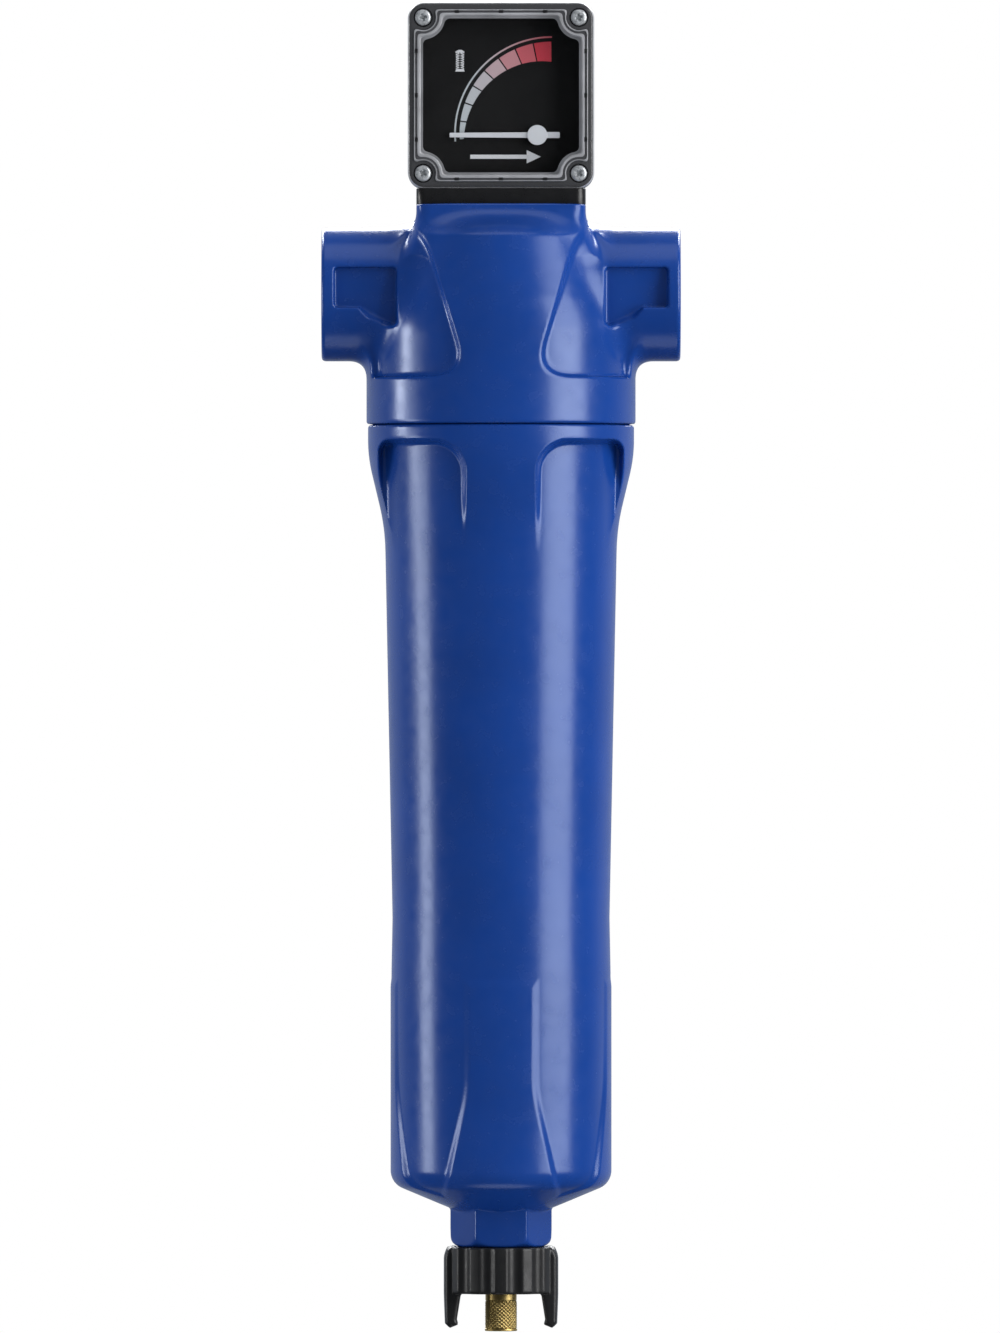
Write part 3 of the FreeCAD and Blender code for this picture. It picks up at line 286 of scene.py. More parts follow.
def zinc_plate(name):
    """Bright zinc plate with a satin, slightly clouded surface."""
    finish = Finish(name)
    finish.set(Metallic=0.55)
    cloud = finish.noise(700, 4)
    finish.mottled(cloud, (0.5, 0.52, 0.54), (0.82, 0.84, 0.86))
    finish.rough(cloud, 0.24, 0.4)
    return finish.grained(cloud, 0.00002, 0.3)


def rubber():
    """Black seal rubber with a dull, uneven surface."""
    finish = Finish("seal_rubber")
    finish.set(Specular_IOR_Level=0.35)
    finish.mottled(finish.noise(70), (0.008, 0.008, 0.008), (0.017, 0.017, 0.017))
    finish.rough(finish.noise(500), 0.5, 0.68)
    return finish.grained(finish.noise(1400), 0.00003, 0.4)


def pleated_media():
    """Cream glass-fibre media with upright pleats, a felted surface and painted shade in the pleat valleys."""
    finish = Finish("element_media")
    pleats = finish.nodes.new("ShaderNodeTexWave")
    pleats.wave_type = "BANDS"
    pleats.bands_direction = "DIAGONAL"
    pleats.inputs["Scale"].default_value = 130
    finish.link(finish.scaled(1, 1, 0.02), pleats.inputs["Vector"])
    # The colour darkens into each pleat's valley: painted shade between the folds.
    finish.coloured(finish.ramp(pleats.outputs["Fac"], (0.0, (0.55, 0.53, 0.47)), (1.0, (0.82, 0.8, 0.75))))
    finish.set(Roughness=0.9, Sheen_Weight=0.3)
    folds = finish.bump(pleats.outputs["Fac"], 0.0006, 0.6)
    return finish.grained(finish.noise(1800, 4), 0.00008, 0.5, folds)


def foam():
    """Open drainage foam round the element, its pits painted darker as shade."""
    finish = Finish("element_foam")
    finish.set(Roughness=0.95, Sheen_Weight=0.4)
    holes_and_shade = finish.cells(900)
    # The colour darkens into each pit: painted shade in the foam's holes.
    finish.coloured(finish.ramp(holes_and_shade, (0.1, (0.3, 0.31, 0.34)), (0.6, (0.62, 0.63, 0.66))))
    return finish.grained(holes_and_shade, 0.0003, 0.8)


def pale_paper():
    """Pale matt paper of the studio floor."""
    finish = Finish("studio_floor")
    finish.set(Roughness=0.85)
    finish.mottled(finish.noise(3), (0.8, 0.8, 0.8), (0.83, 0.83, 0.83))
    return finish.grained(finish.noise(90), 0.0004, 0.15)


def finish_of(maker, name, *values):
    """The material of that name, made once."""
    return bpy.data.materials.get(name) or maker(name, *values)


def coat_blue(context):
    return finish_of(powder_coat, "blue_powder_coat", context.scene.filter_colours)


def case_black(context):
    return finish_of(moulded_black, "gauge_black", tuple(context.scene.filter_colours.case), 0.3)


# Mesh helpers

def placed(name, data):
    """A new object in the scene."""
    obj = bpy.data.objects.new(name, data)
    bpy.context.scene.collection.objects.link(obj)
    return obj


def piece(name, points, faces, materials, body, normals=None, slots_of_faces=None):
    """A finished piece from points in millimetres, riding on its body."""
    mesh = bpy.data.meshes.new(name)
    mesh.from_pydata((np.asarray(points, float) * MM).tolist(), [], [list(map(int, f)) for f in faces])
    for material in materials:
        mesh.materials.append(material)
    if slots_of_faces is not None:
        mesh.polygons.foreach_set("material_index", np.asarray(slots_of_faces, np.int32))
    mesh.validate()
    mesh.shade_smooth()
    if normals is not None:
        mesh.normals_split_custom_set_from_vertices(np.asarray(normals, float).tolist())
    return seat(placed(name, mesh), body)


def seat(obj, body):
    """The piece, riding on its body, if it has one."""
    if body:
        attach(obj, body)
    return obj


def plain_mesh(obj, name):
    """The object's evaluated shape as a plain mesh on a new object; the old one is removed."""
    graph = bpy.context.evaluated_depsgraph_get()
    mesh = bpy.data.meshes.new_from_object(obj.evaluated_get(graph), preserve_all_data_layers=True,
                                           depsgraph=graph)
    bpy.data.objects.remove(obj)
    mesh.name = name
    return placed(name, mesh)


def face_out(mesh):
    """Turns the faces of a closed mesh so that they face out."""
    work = bmesh.new()
    work.from_mesh(mesh)
    bmesh.ops.recalc_face_normals(work, faces=work.faces)
    work.to_mesh(mesh)
    work.free()


def face_front(mesh):
    """Turns the faces of a flat mesh so that they face -Y."""
    if mesh.polygons[0].normal.y > 0:
        mesh.flip_normals()


def grid_faces(rows, columns, closed=True, first=0):
    """Quads of a grid whose points run along the columns first."""
    last = columns if closed else columns - 1
    row = np.repeat(np.arange(rows - 1), last)
    column = np.tile(np.arange(last), rows - 1)
    ahead = (column + 1) % columns
    corners = [row * columns + column, row * columns + ahead,
               (row + 1) * columns + ahead, (row + 1) * columns + column]
    return np.stack(corners, 1) + first


def area_normals(points, faces):
    """Normals of the points, weighted by the area of their faces."""
    points = np.asarray(points, float)
    corners = points[faces]
    cross = np.cross(corners[:, 2] - corners[:, 0], corners[:, 3] - corners[:, 1])
    total = np.zeros_like(points)
    for k in range(4):
        np.add.at(total, faces[:, k], cross)
    return total / np.maximum(np.linalg.norm(total, axis=1, keepdims=True), 1e-12)


def outward(points, faces):
    """Turns the faces over where the closed shape is inside out."""
    corners = np.asarray(points, float)[faces]
    volume = np.einsum("ij,ij->", corners[:, 0], np.cross(corners[:, 1], corners[:, 2]))
    volume += np.einsum("ij,ij->", corners[:, 0], np.cross(corners[:, 2], corners[:, 3]))
    return faces if volume > 0 else faces[:, ::-1]


def ring(radius, angles, height):
    """Points round the Z axis."""
    return np.stack(np.broadcast_arrays(radius * np.cos(angles), radius * np.sin(angles), height), -1)


def lathe(profile, columns):
    """Closed turned shape from (radius, height) corners, in a ring that ends where it starts."""
    angles = np.arange(columns) * 2 * math.pi / columns
    points = np.concatenate([ring(radius, angles, height) for radius, height in profile])
    faces = grid_faces(len(profile) + 1, columns) % len(points)
    return points, outward(points, faces)


# Distance fields, in millimetres

def soft_max(a, b, k):
    step = np.maximum(k - np.abs(a - b), 0) / k
    return np.maximum(a, b) + step * step * k / 4


def soft_min(a, b, k):
    return -soft_max(-a, -b, k)


def rounding(radius, turn=90.0):
    """Blend width that rounds a corner of that turn with that radius."""
    return 4 * radius * (1 - math.cos(math.radians(turn / 2)))


def slanted(u, v, normal_u, normal_v):
    """Distance past a slanting line through (0, 0) with that normal."""
    return (u * normal_u + v * normal_v) / math.hypot(normal_u, normal_v)


def step(value, width):
    """Smooth step from 0 to 1 across a width about zero."""
    share = np.clip(value / width + 0.5, 0, 1)
    return share * share * (3 - 2 * share)


def plate_distance(u, v, half_u, half_v, corner):
    """Distance to a rounded rectangle."""
    over_u = np.abs(u) - (half_u - corner)
    over_v = np.abs(v) - (half_v - corner)
    outside = np.hypot(np.maximum(over_u, 0), np.maximum(over_v, 0))
    return outside + np.minimum(np.maximum(over_u, over_v), 0) - corner


def outline_distance(u, v, corners):
    """Distance to a closed outline of straight runs."""
    best = np.full(np.shape(u), 1e9)
    inside = np.zeros(np.shape(u), bool)
    for i, (u0, v0) in enumerate(corners):
        u1, v1 = corners[(i + 1) % len(corners)]
        du, dv = u1 - u0, v1 - v0
        share = np.clip(((u - u0) * du + (v - v0) * dv) / (du * du + dv * dv), 0, 1)
        best = np.minimum(best, np.hypot(u - u0 - share * du, v - v0 - share * dv))
        crosses = (v0 > v) != (v1 > v)
        with np.errstate(divide="ignore", invalid="ignore"):
            inside ^= crosses & (u < (du * (v - v0) / (dv if dv else 1e-9) + u0))
    return np.where(inside, -best, best)


def gradient(field, points, reach):
    slopes = []
    for axis in range(3):
        step = np.zeros(3)
        step[axis] = reach
        slopes.append(field(*(points + step).T) - field(*(points - step).T))
    return np.stack(slopes, 1) / (2 * reach)


def skin(field, low, high, cell):
    """Quads on the surface where a distance field is zero, with their points and normals."""
    low = np.asarray(low, float)
    counts = np.ceil((np.asarray(high, float) - low) / cell).astype(int) + 1
    lines = [low[i] + cell * np.arange(counts[i]) for i in range(3)]
    across, upwards = np.meshgrid(lines[1], lines[2], indexing="ij")
    values = np.stack([field(np.full_like(across, x), across, upwards) for x in lines[0]])
    inside = values < 0
    cells = counts - 1
    shifts = ((0, 0), (1, 0), (1, 1), (0, 1))
    owners, crossings, turned = [], [], []
    for axis in range(3):
        start = [slice(None)] * 3
        end = [slice(None)] * 3
        start[axis], end[axis] = slice(0, -1), slice(1, None)
        at = np.argwhere(inside[tuple(start)] != inside[tuple(end)])
        u, v = (axis + 1) % 3, (axis + 2) % 3
        at = at[(at[:, u] > 0) & (at[:, v] > 0) & (at[:, u] < cells[u]) & (at[:, v] < cells[v])]
        beyond = at.copy()
        beyond[:, axis] += 1
        first = values[tuple(at.T)]
        second = values[tuple(beyond.T)]
        point = low + at * cell
        point[:, axis] += cell * first / (first - second)
        quad = []
        for du, dv in shifts:
            owner = at.copy()
            owner[:, u] -= du
            owner[:, v] -= dv
            quad.append(np.ravel_multi_index(owner.T, cells))
        owners.append(np.stack(quad, 1))
        crossings.append(point)
        turned.append(first < 0)
    owners = np.concatenate(owners)
    crossings = np.repeat(np.concatenate(crossings), 4, axis=0)
    turned = np.concatenate(turned)
    used, index = np.unique(owners.ravel(), return_inverse=True)
    number = np.bincount(index)
    points = np.stack([np.bincount(index, crossings[:, i]) / number for i in range(3)], 1)
    faces = index.reshape(-1, 4)
    faces = np.where(turned[:, None], faces, faces[:, ::-1])
    pulls, pull_reach, normal_reach, least_slope, furthest = 4, 0.04, 0.2, 0.2, 0.6 * cell
    start = points.copy()
    for _ in range(pulls):
        slope = gradient(field, points, pull_reach)
        points = points - slope * (field(*points.T) / np.maximum((slope ** 2).sum(1), least_slope))[:, None]
        points = start + np.clip(points - start, -furthest, furthest)
    normals = gradient(field, points, normal_reach)
    normals /= np.maximum(np.linalg.norm(normals, axis=1, keepdims=True), 1e-9)
    return points, faces, normals


# Head casting, in millimetres from the crossing of the pipe line and the filter's axis

RING_R, RING_FOOT_Z, RING_EDGE_INSET = 52.5, -50.5, 3
CROWN_Z = 28.4
PAD_HALF_X, PAD_HALF_Y, PAD_CORNER, PAD_TOP_Z = 33, 23, 5.5, 35
BOSS_R, BOSS_END_X = 26, 70
PORT_R, PORT_FLOOR_X = 16.6, 48
SCOOP_X, SCOOP_FOOT_Z, SCOOP_FLOOR_Y, SCOOP_LEAN = 13, -32.3, 14, 0.302
SLOT_OUTER_X, SLOT_INNER_X, SLOT_FLOOR_Y = 65, 40.6, 21
SLOT_TOP_Z, SLOT_LOW_Z, SLOT_DROP, SLOT_DROP_X, SLOT_DROP_RUN = 10.3, -5.3, 7, 55, 14.4
BOWL_BORE_R, BOWL_BORE_TOP_Z = 47.5, -32.5
CHAMBER_R, DUCT_R, SOCKET_R, PASSAGE_FOOT_Z = 44, 13, 16.3, -34


def head_turned(radius, z, inset):
    """The head's turned form: ring, wide dome, shoulder and crown."""
    side = radius - (RING_R - inset)
    dome = slanted(side, z + 8, 31, 13)
    shoulder = slanted(side + 13, z - 23, 5, 5.5)
    form = soft_max(side, dome, rounding(40, 22.75))
    form = soft_max(form, shoulder, rounding(3.5, 25))
    form = soft_max(form, z - CROWN_Z, 5.0)
    return soft_max(form, RING_FOOT_Z - z, rounding(0.9))


def head_passages(x, y, z, radius, along):
    """Hollow of the inlet duct, element socket and annular outlet chamber."""
    chamber = soft_max(radius - CHAMBER_R, slanted(radius - CHAMBER_R, z + 6, 19, 12), rounding(6, 32))
    chamber = soft_max(chamber, slanted(radius - 32, z - 13, 4, 32), rounding(4, 50))
    chamber = np.maximum(chamber, PASSAGE_FOOT_Z - z)
    duct_wall = np.maximum(along - DUCT_R - 4, x)
    web = np.maximum(np.maximum(np.abs(y) - DUCT_R - 4, -z), x)
    socket_wall = np.maximum(radius - SOCKET_R - 3.2, -28 - z)
    chamber = soft_max(chamber, -np.minimum(np.minimum(duct_wall, web), socket_wall), 1.5)
    inlet = np.maximum(along - DUCT_R, np.maximum(x, -50 - x))
    elbow = np.sqrt(x * x + y * y + z * z) - DUCT_R
    down = np.maximum(radius - DUCT_R, np.maximum(z, -11 - z))
    socket = soft_max(radius - SOCKET_R, np.maximum(z + 10, PASSAGE_FOOT_Z - z), 0.8)
    outlet = np.maximum(along - DUCT_R, np.maximum(38 - x, x - 50))
    hollow = np.minimum(np.minimum(inlet, elbow), np.minimum(down, socket))
    return np.minimum(np.minimum(hollow, outlet), chamber)


def clamp_slot(far_x, far_y, z):
    """Slot in a boss's face: it drops towards its inner end, with a bevelled lower edge there."""
    low = SLOT_LOW_Z - SLOT_DROP * np.clip((SLOT_DROP_X - far_x) / SLOT_DROP_RUN, 0, 1)
    in_drop = np.clip((SLOT_DROP_X + 0.5 - far_x) / 4, 0, 1) * np.clip((far_x - 41) / 5, 0, 1)
    low = low - 0.9 * np.maximum(far_y - SLOT_FLOOR_Y, 0) * in_drop
    slot = soft_max(soft_max(far_x - SLOT_OUTER_X, SLOT_INNER_X - far_x, 1),
                    soft_max(z - SLOT_TOP_Z, low - z, 1), 2)
    return soft_max(slot, SLOT_FLOOR_Y - far_y, 1.2)


def head_field(x, y, z):
    """Distance to the head casting's surface."""
    radius = np.hypot(x, y)
    along = np.hypot(y, z)
    far_x = np.abs(x)
    far_y = np.abs(y)
    cheek = slanted(SCOOP_X - far_x, z - SCOOP_FOOT_Z, 1, SCOOP_LEAN)
    scoop = soft_max(soft_max(cheek, SCOOP_FOOT_Z - z, rounding(8.9, 107)), SCOOP_FLOOR_Y - far_y, 3)
    body = soft_max(head_turned(radius, z, 0), -scoop, 1.5)
    body = soft_min(body, head_turned(radius, z, RING_EDGE_INSET), 1.8)
    boss = soft_max(along - BOSS_R, far_x - BOSS_END_X, rounding(1.5))
    body = soft_min(body, np.maximum(boss, 30 - far_x), rounding(6))
    pad = soft_max(plate_distance(x, y, PAD_HALF_X, PAD_HALF_Y, PAD_CORNER), z - PAD_TOP_Z, rounding(0.7))
    body = soft_min(body, np.maximum(pad, 20 - z), 2.6 + 7.4 * np.clip((far_y - 12) / 12, 0, 1))
    body = soft_max(body, -clamp_slot(far_x, far_y, z), 1.1)
    port = soft_max(along - PORT_R, PORT_FLOOR_X - far_x, 1)
    flare = slanted(along - PORT_R - 1, far_x - BOSS_END_X, 1, -1)
    body = soft_max(body, -np.minimum(port, np.maximum(flare, BOSS_END_X - 4 - far_x)), 0.7)
    bore = np.maximum(radius - BOWL_BORE_R, z - BOWL_BORE_TOP_Z)
    return soft_max(body, -np.minimum(bore, head_passages(x, y, z, radius, along)), 0.9)


class FILTER_OT_head(bpy.types.Operator):
    """Skin of the head casting, with its fillets, scoops, slots and passages"""
    bl_idname = "filter.head"
    bl_label = "Head casting"

    def execute(self, context):
        cell = context.scene.filter_sizes.skin_cell / MM
        points, faces, normals = skin(head_field, (-71.3, -53.7, -51.9), (71.3, 53.7, 36.3), cell)
        skin_obj = piece("head_casting", points, faces, [coat_blue(context)], "head", normals)
        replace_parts(skin_obj, "filter_head")
        return {"FINISHED"}


def thread_sleeve(inner, outer, pitch, start, end, depth):
    """Ring with an inside thread, upright along Z from start to end."""
    columns = 96
    rows = int((end - start) / pitch * 10) + 1
    angles = np.arange(columns) * 2 * math.pi / columns
    heights = np.linspace(start, end, rows)
    phase = heights[:, None] / pitch - angles[None, :] / (2 * math.pi)
    wave = np.abs((phase % 1) * 2 - 1)
    fade = np.clip((end - heights) / (1.5 * pitch), 0, 1)[:, None]
    radius = outer - 0.15 - depth * np.clip(wave * 1.25 - 0.1, 0, 1) * fade
    radius = np.maximum(radius, inner)
    wall = ring(radius, angles, heights[:, None]).reshape(-1, 3)
    points = np.concatenate([wall] + [ring(outer, angles, height) for height in (end, start)])
    faces = grid_faces(rows + 3, columns) % len(points)
    return points, outward(points, faces)


class FILTER_OT_port_threads(bpy.types.Operator):
    """Pipe threads inside the two ports"""
    bl_idname = "filter.port_threads"
    bl_label = "Port threads"

    def execute(self, context):
        pitch = context.scene.filter_sizes.pipe_thread_pitch / MM
        points, faces = thread_sleeve(inner=15.2, outer=16.58, pitch=pitch, start=48.4, end=68.4, depth=1.2)
        for name, side in (("inlet_thread", -1), ("outlet_thread", 1)):
            turned = np.stack([side * points[:, 2], side * -points[:, 1], points[:, 0]], 1)
            faces_here = outward(turned, faces)
            piece(name, turned, faces_here, [coat_blue(context)], "head",
                  area_normals(turned, faces_here))
        return {"FINISHED"}


# Bowl

def rounded_run(corners, samples):
    """Points along a line with its corners (u, v, radius) rounded."""
    path = [np.array(corners[0][:2], float)]
    for i in range(1, len(corners) - 1):
        here = np.array(corners[i][:2], float)
        radius = corners[i][2]
        back = np.array(corners[i - 1][:2], float) - here
        ahead = np.array(corners[i + 1][:2], float) - here
        if not radius:
            path.append(here)
            continue
        back_length, ahead_length = np.linalg.norm(back), np.linalg.norm(ahead)
        back, ahead = back / back_length, ahead / ahead_length
        half = math.acos(np.clip(back @ ahead, -1, 1)) / 2
        reach = min(radius / math.tan(half), 0.49 * back_length, 0.49 * ahead_length)
        real = reach * math.tan(half)
        middle = (back + ahead) / np.linalg.norm(back + ahead)
        centre = here + middle * (real / math.sin(half))
        start, end = here + back * reach - centre, here + ahead * reach - centre
        turn = math.pi - 2 * half
        for share in np.linspace(0, 1, samples):
            path.append(centre + (start * math.sin((1 - share) * turn) + end * math.sin(share * turn))
                        / math.sin(turn))
    path.append(np.array(corners[-1][:2], float))
    return np.array(path)


def spaced(path, count):
    """The same line with evenly spaced points."""
    lengths = np.concatenate([[0], np.cumsum(np.hypot(*np.diff(path, axis=0).T))])
    places = np.linspace(0, lengths[-1], count)
    return np.stack([np.interp(places, lengths, path[:, i]) for i in range(2)], 1)


def runs(start, *spans):
    """Numbers from the start on, evenly spaced within each span (end, count)."""
    values = [start]
    for end, count in spans:
        values += list(np.linspace(values[-1], end, count)[1:])
    return np.array(values)


def bowl_angles():
    """Angles round the bowl, closer together where the panels and pockets have their edges."""
    quarter = runs(0, (3, 4), (11, 5), (30, 46), (45, 14))
    half = np.unique(np.round(np.concatenate([quarter, 90 - quarter[1:-1]]), 4))
    return np.radians(np.concatenate([half + 90 * k for k in range(4)]))


NECK_R, COLLAR_R, COLLAR_TOP_Z, INSIDE_R = 47.1, 51.9, -52.1, 41.3
BARREL_TOP_R, BARREL_TOP_Z, BARREL_TAPER = 45.3, -91.0, 0.0194
POCKET_X, POCKET_Z, POCKET_HALF_X, POCKET_HALF_Z, POCKET_FLOOR_Y = 30.8, -107.6, 16.4, 50, 14.0
PANEL_R, PANEL_TOP_Z, PANEL_HALF, PANEL_EDGE = 43.1, -268.6, 13.03, 3.8
PANEL_WIDENS_Z, PANEL_WIDENING = -310, (23.7 - 13.03) / 46.6
SIDE_FOOT_Z, CONE_R, CONE_Z = -336.5, 19.5, -356.6
CONE_SLOPE = (CONE_Z + 346.2) / (CONE_R - 42.2)
HEX_FLATS, HEX_ROOT, BOWL_FOOT_Z = 34.5, 1.2, -371.5


def barrel_r(z):
    return BARREL_TOP_R + BARREL_TAPER * (z - BARREL_TOP_Z)


def hex_r(angles, flats, softness):
    """Radius of a hexagon with corners at 0, 60, ... degrees, its corners a little rounded."""
    total = 0
    for k in range(6):
        total = total + np.maximum(np.cos(angles - math.radians(30 + 60 * k)), 0) ** softness
    return flats / 2 / total ** (1 / softness)


def bowl_rows():
    """Heights down the bowl's side, closer together at its edges."""
    return runs(COLLAR_TOP_Z, (-56.2, 5), (-67, 24), (-93, 22), (-112, 6), (-262, 9), (-276, 22), (-306, 9),
                (SIDE_FOOT_Z, 26))


def between_panels(z):
    """Share by which the surface between the foot panels comes out to meet them."""
    return step(-z - 254, 24) * (0.7 - 0.2 * step(-z - 305, 40))


def panel_half(z):
    """Half width of a foot panel where it widens downwards."""
    return PANEL_HALF + (PANEL_WIDENS_Z - z) * PANEL_WIDENING


def from_panel(angles):
    """Angle from the middle of the nearest foot panel."""
    return (angles + math.pi / 4) % (math.pi / 2) - math.pi / 4


def bowl_side(z, angles):
    """Radius and angle of points on the bowl's side: collar, pockets open to front and back, barrel, panels."""
    z = z[:, None]
    barrel = barrel_r(z)
    flare = barrel + (COLLAR_R - BARREL_TOP_R) * (z - BARREL_TOP_Z) / 30
    bend = soft_min(flare, COLLAR_R, 1.6)
    collar = np.where(z > -100, soft_max(bend, barrel, 2.0), barrel)
    x = collar * np.abs(np.cos(angles))
    y = collar * np.abs(np.sin(angles))
    pocket = plate_distance(x - POCKET_X, z - POCKET_Z, POCKET_HALF_X, POCKET_HALF_Z,
                            np.where(x > POCKET_X, 4.0, 12.0))
    floor = np.sqrt(np.maximum(barrel ** 2 - x ** 2, 0))
    y = y - np.maximum(y - soft_max(floor, POCKET_FLOOR_Y, 6.0), 0) * step(-pocket, 2.4)
    turned = np.arctan2(y * np.sign(np.sin(angles)), x * np.sign(np.cos(angles)))
    growth = between_panels(z) * (PANEL_R - barrel)
    from_middle = np.abs(PANEL_R * np.sin(from_panel(angles))[None, :])
    half = soft_max(panel_half(z), PANEL_HALF, 1.6)
    panel = np.maximum(from_middle - half, (z - PANEL_TOP_Z) * 0.9)
    raised = np.maximum(PANEL_R - barrel - growth, 0) * step(0.4 - panel, PANEL_EDGE) * (z < -265)
    return np.hypot(x, y) + growth + raised, turned


def bowl_end(angles):
    """Domed foot and hexagon boss, as rows (radius, height), from the barrel's and the panels' profile."""
    hexagon = hex_r(angles, HEX_FLATS, 90.0)
    barrel = barrel_r(SIDE_FOOT_Z)
    barrel = barrel + between_panels(SIDE_FOOT_Z) * (PANEL_R - barrel)
    runs = []
    for top_r, corner_r, corner_z in ((barrel, barrel - 0.15, -346.2), (PANEL_R, PANEL_R, -346.7)):
        path = rounded_run([(top_r, SIDE_FOOT_Z, 0), (corner_r, corner_z, 10), (CONE_R, CONE_Z, 0)], 24)
        runs.append(spaced(path, 36)[1:])
    rows = []
    for plain, raised in zip(*runs):
        share = step(panel_half(raised[1]) - np.abs(raised[0] * np.sin(from_panel(angles))) + 0.4, PANEL_EDGE)
        rows.append((plain[0] + (raised[0] - plain[0]) * share, plain[1] + (raised[1] - plain[1]) * share))
    rows = [row for row in rows if row[0].min() > 24.5]
    foot_r, foot_z = rows[-1]
    root_r = hexagon + HEX_ROOT
    root_z = CONE_Z + (root_r - CONE_R) * CONE_SLOPE
    for share in (0.3, 0.55, 0.75, 0.88):
        rows.append((foot_r + (root_r - foot_r) * share, foot_z + (root_z - foot_z) * share))
    for share in (0.0, 0.3, 0.6, 0.85, 1.0):
        turn = share * math.pi / 2
        rows.append((hexagon + HEX_ROOT * (1 - math.sin(turn)),
                     root_z - HEX_ROOT * (1 - math.cos(turn)) - 0.3 * share))
    for depth in (4.0, 8.0):
        rows.append((hexagon, CONE_Z - depth))
    for share in np.linspace(0, 1, 11):
        turn = share * math.pi / 2
        corner = 15.6 + 4.5 * math.cos(turn)
        rows.append((soft_min(hexagon, corner, 0.8), BOWL_FOOT_Z + 5.1 * (1 - math.sin(turn))))
    return rows + [(radius, BOWL_FOOT_Z) for radius in (14.2, 12.4, 11.4)]


def bowl_points(thread_pitch):
    """Grid of points over the whole bowl, outside and inside, with the number of its rows and columns."""
    angles = bowl_angles()
    groove_low, groove_high, groove_r = -38.2, -34.8, 44.3
    thread_end, shoulder_z, edge_r = -50.6, -50.9, 1.2
    rows = [(NECK_R - 0.6, -33.5), (NECK_R, -34.0), (NECK_R, groove_high), (groove_r, groove_high),
            (groove_r, groove_low), (NECK_R, groove_low)]
    for height in np.arange(-38.8, -50.2, -0.4):
        phase = (height / thread_pitch - angles / (2 * math.pi)) % 1
        fade = min(1.0, (-38.4 - height) / 1.5, (height - thread_end) / 1.0)
        ridge = np.clip(np.abs(phase * 2 - 1) * 1.3 - 0.15, 0, 1)
        rows.append((NECK_R - 0.05 - 1.4 * fade * ridge, height))
    rows += [(NECK_R, thread_end), (NECK_R + 0.2, shoulder_z), (COLLAR_R - edge_r, shoulder_z)]
    for share in (0.25, 0.5, 0.75):
        turn = share * math.pi / 2
        rows.append((COLLAR_R - edge_r * (1 - math.sin(turn)), COLLAR_TOP_Z + edge_r * math.cos(turn)))
    heights = bowl_rows()
    side, turned = bowl_side(heights, angles)
    rows += list(zip(side, heights, turned)) + bowl_end(angles)
    rows += list(rounded_run([
        (11.2, BOWL_FOOT_Z, 0), (11.2, -349, 0.6), (27, -349, 3), (36.35, -342, 6), (INSIDE_R, BARREL_TOP_Z, 0),
        (INSIDE_R, -34.2, 0), (INSIDE_R + 0.5, -33.5, 0)], 6))
    points = [ring(row[0], row[2] if len(row) > 2 else angles, row[1]) for row in rows]
    return np.concatenate(points), len(rows), len(angles)


class FILTER_OT_bowl(bpy.types.Operator):
    """Skin of the bowl: threaded neck, collar with pockets, tapered barrel, foot panels and hexagon"""
    bl_idname = "filter.bowl"
    bl_label = "Bowl"

    def execute(self, context):
        points, rows, columns = bowl_points(context.scene.filter_sizes.bowl_thread_pitch / MM)
        faces = grid_faces(rows + 1, columns) % len(points)
        faces = outward(points, faces)
        bowl = piece("bowl_casting", points, faces, [coat_blue(context)], "bowl",
                     area_normals(points, faces))
        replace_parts(bowl, "filter_bowl")
        return {"FINISHED"}


class FILTER_OT_marks(bpy.types.Operator):
    """Short marks on the ring and the collar that line up when the bowl is home"""
    bl_idname = "filter.marks"
    bl_label = "Alignment marks"

    def execute(self, context):
        edges = ((3.95, 0), (4.1, 1), (4.5, 1), (4.65, 0))
        rows, columns = 9, len(edges)
        for name, radius, low, high, body, lean in (("ring_mark", RING_R, -50.0, -46.6, "head", 0.0),
                                                    ("collar_mark", COLLAR_R, -55.6, -52.0, "bowl", 1.9)):
            proud, sunk = [], []
            for share in np.linspace(0, 1, rows):
                height = low + (high - low) * share
                lift = 0.15 * math.sin(math.pi * min(max(share, 0.04), 0.96)) ** 0.4
                for x, raised in edges:
                    across = x - lean * (1 - share)
                    surface = math.sqrt((radius - 0.16) ** 2 - across ** 2)
                    proud.append((across, -surface - lift * raised, height))
                    sunk.append((across, -math.sqrt((radius - 0.9) ** 2 - across ** 2), height))
            points, n = proud + sunk, len(proud)
            front = grid_faces(rows, columns, closed=False)
            rim = list(range(columns)) + [row * columns - 1 for row in range(2, rows)]
            rim += list(range(n - 1, n - columns, -1)) + [row * columns for row in range(rows - 1, 0, -1)]
            sides = [(rim[i], rim[(i + 1) % len(rim)], rim[(i + 1) % len(rim)] + n, rim[i] + n)
                     for i in range(len(rim))]
            faces = outward(points, np.concatenate([front, front[:, ::-1] + n, np.array(sides)]))
            piece(name, points, faces, [coat_blue(context)], body)
        return {"FINISHED"}


# Grip nut and spout

NUT_RING_R, NUT_TOP_Z, NUT_LOW_Z, NUT_BORE_R = 20.8, -371.5, -389.7, 9.9
WING_R, WING_TOP_Z, WING_HALF_Y = 22.8, -370.9, 6.5
WING_OUTLINE = (
    (14.8, WING_TOP_Z), (WING_R, WING_TOP_Z), (WING_R, NUT_LOW_Z), (22.1, -401.4), (19.9, -403.1),
    (16.7, -401.8), (17.2, -399.9), (15.6, NUT_LOW_Z), (14.8, -388.0))
FLUTES = 12


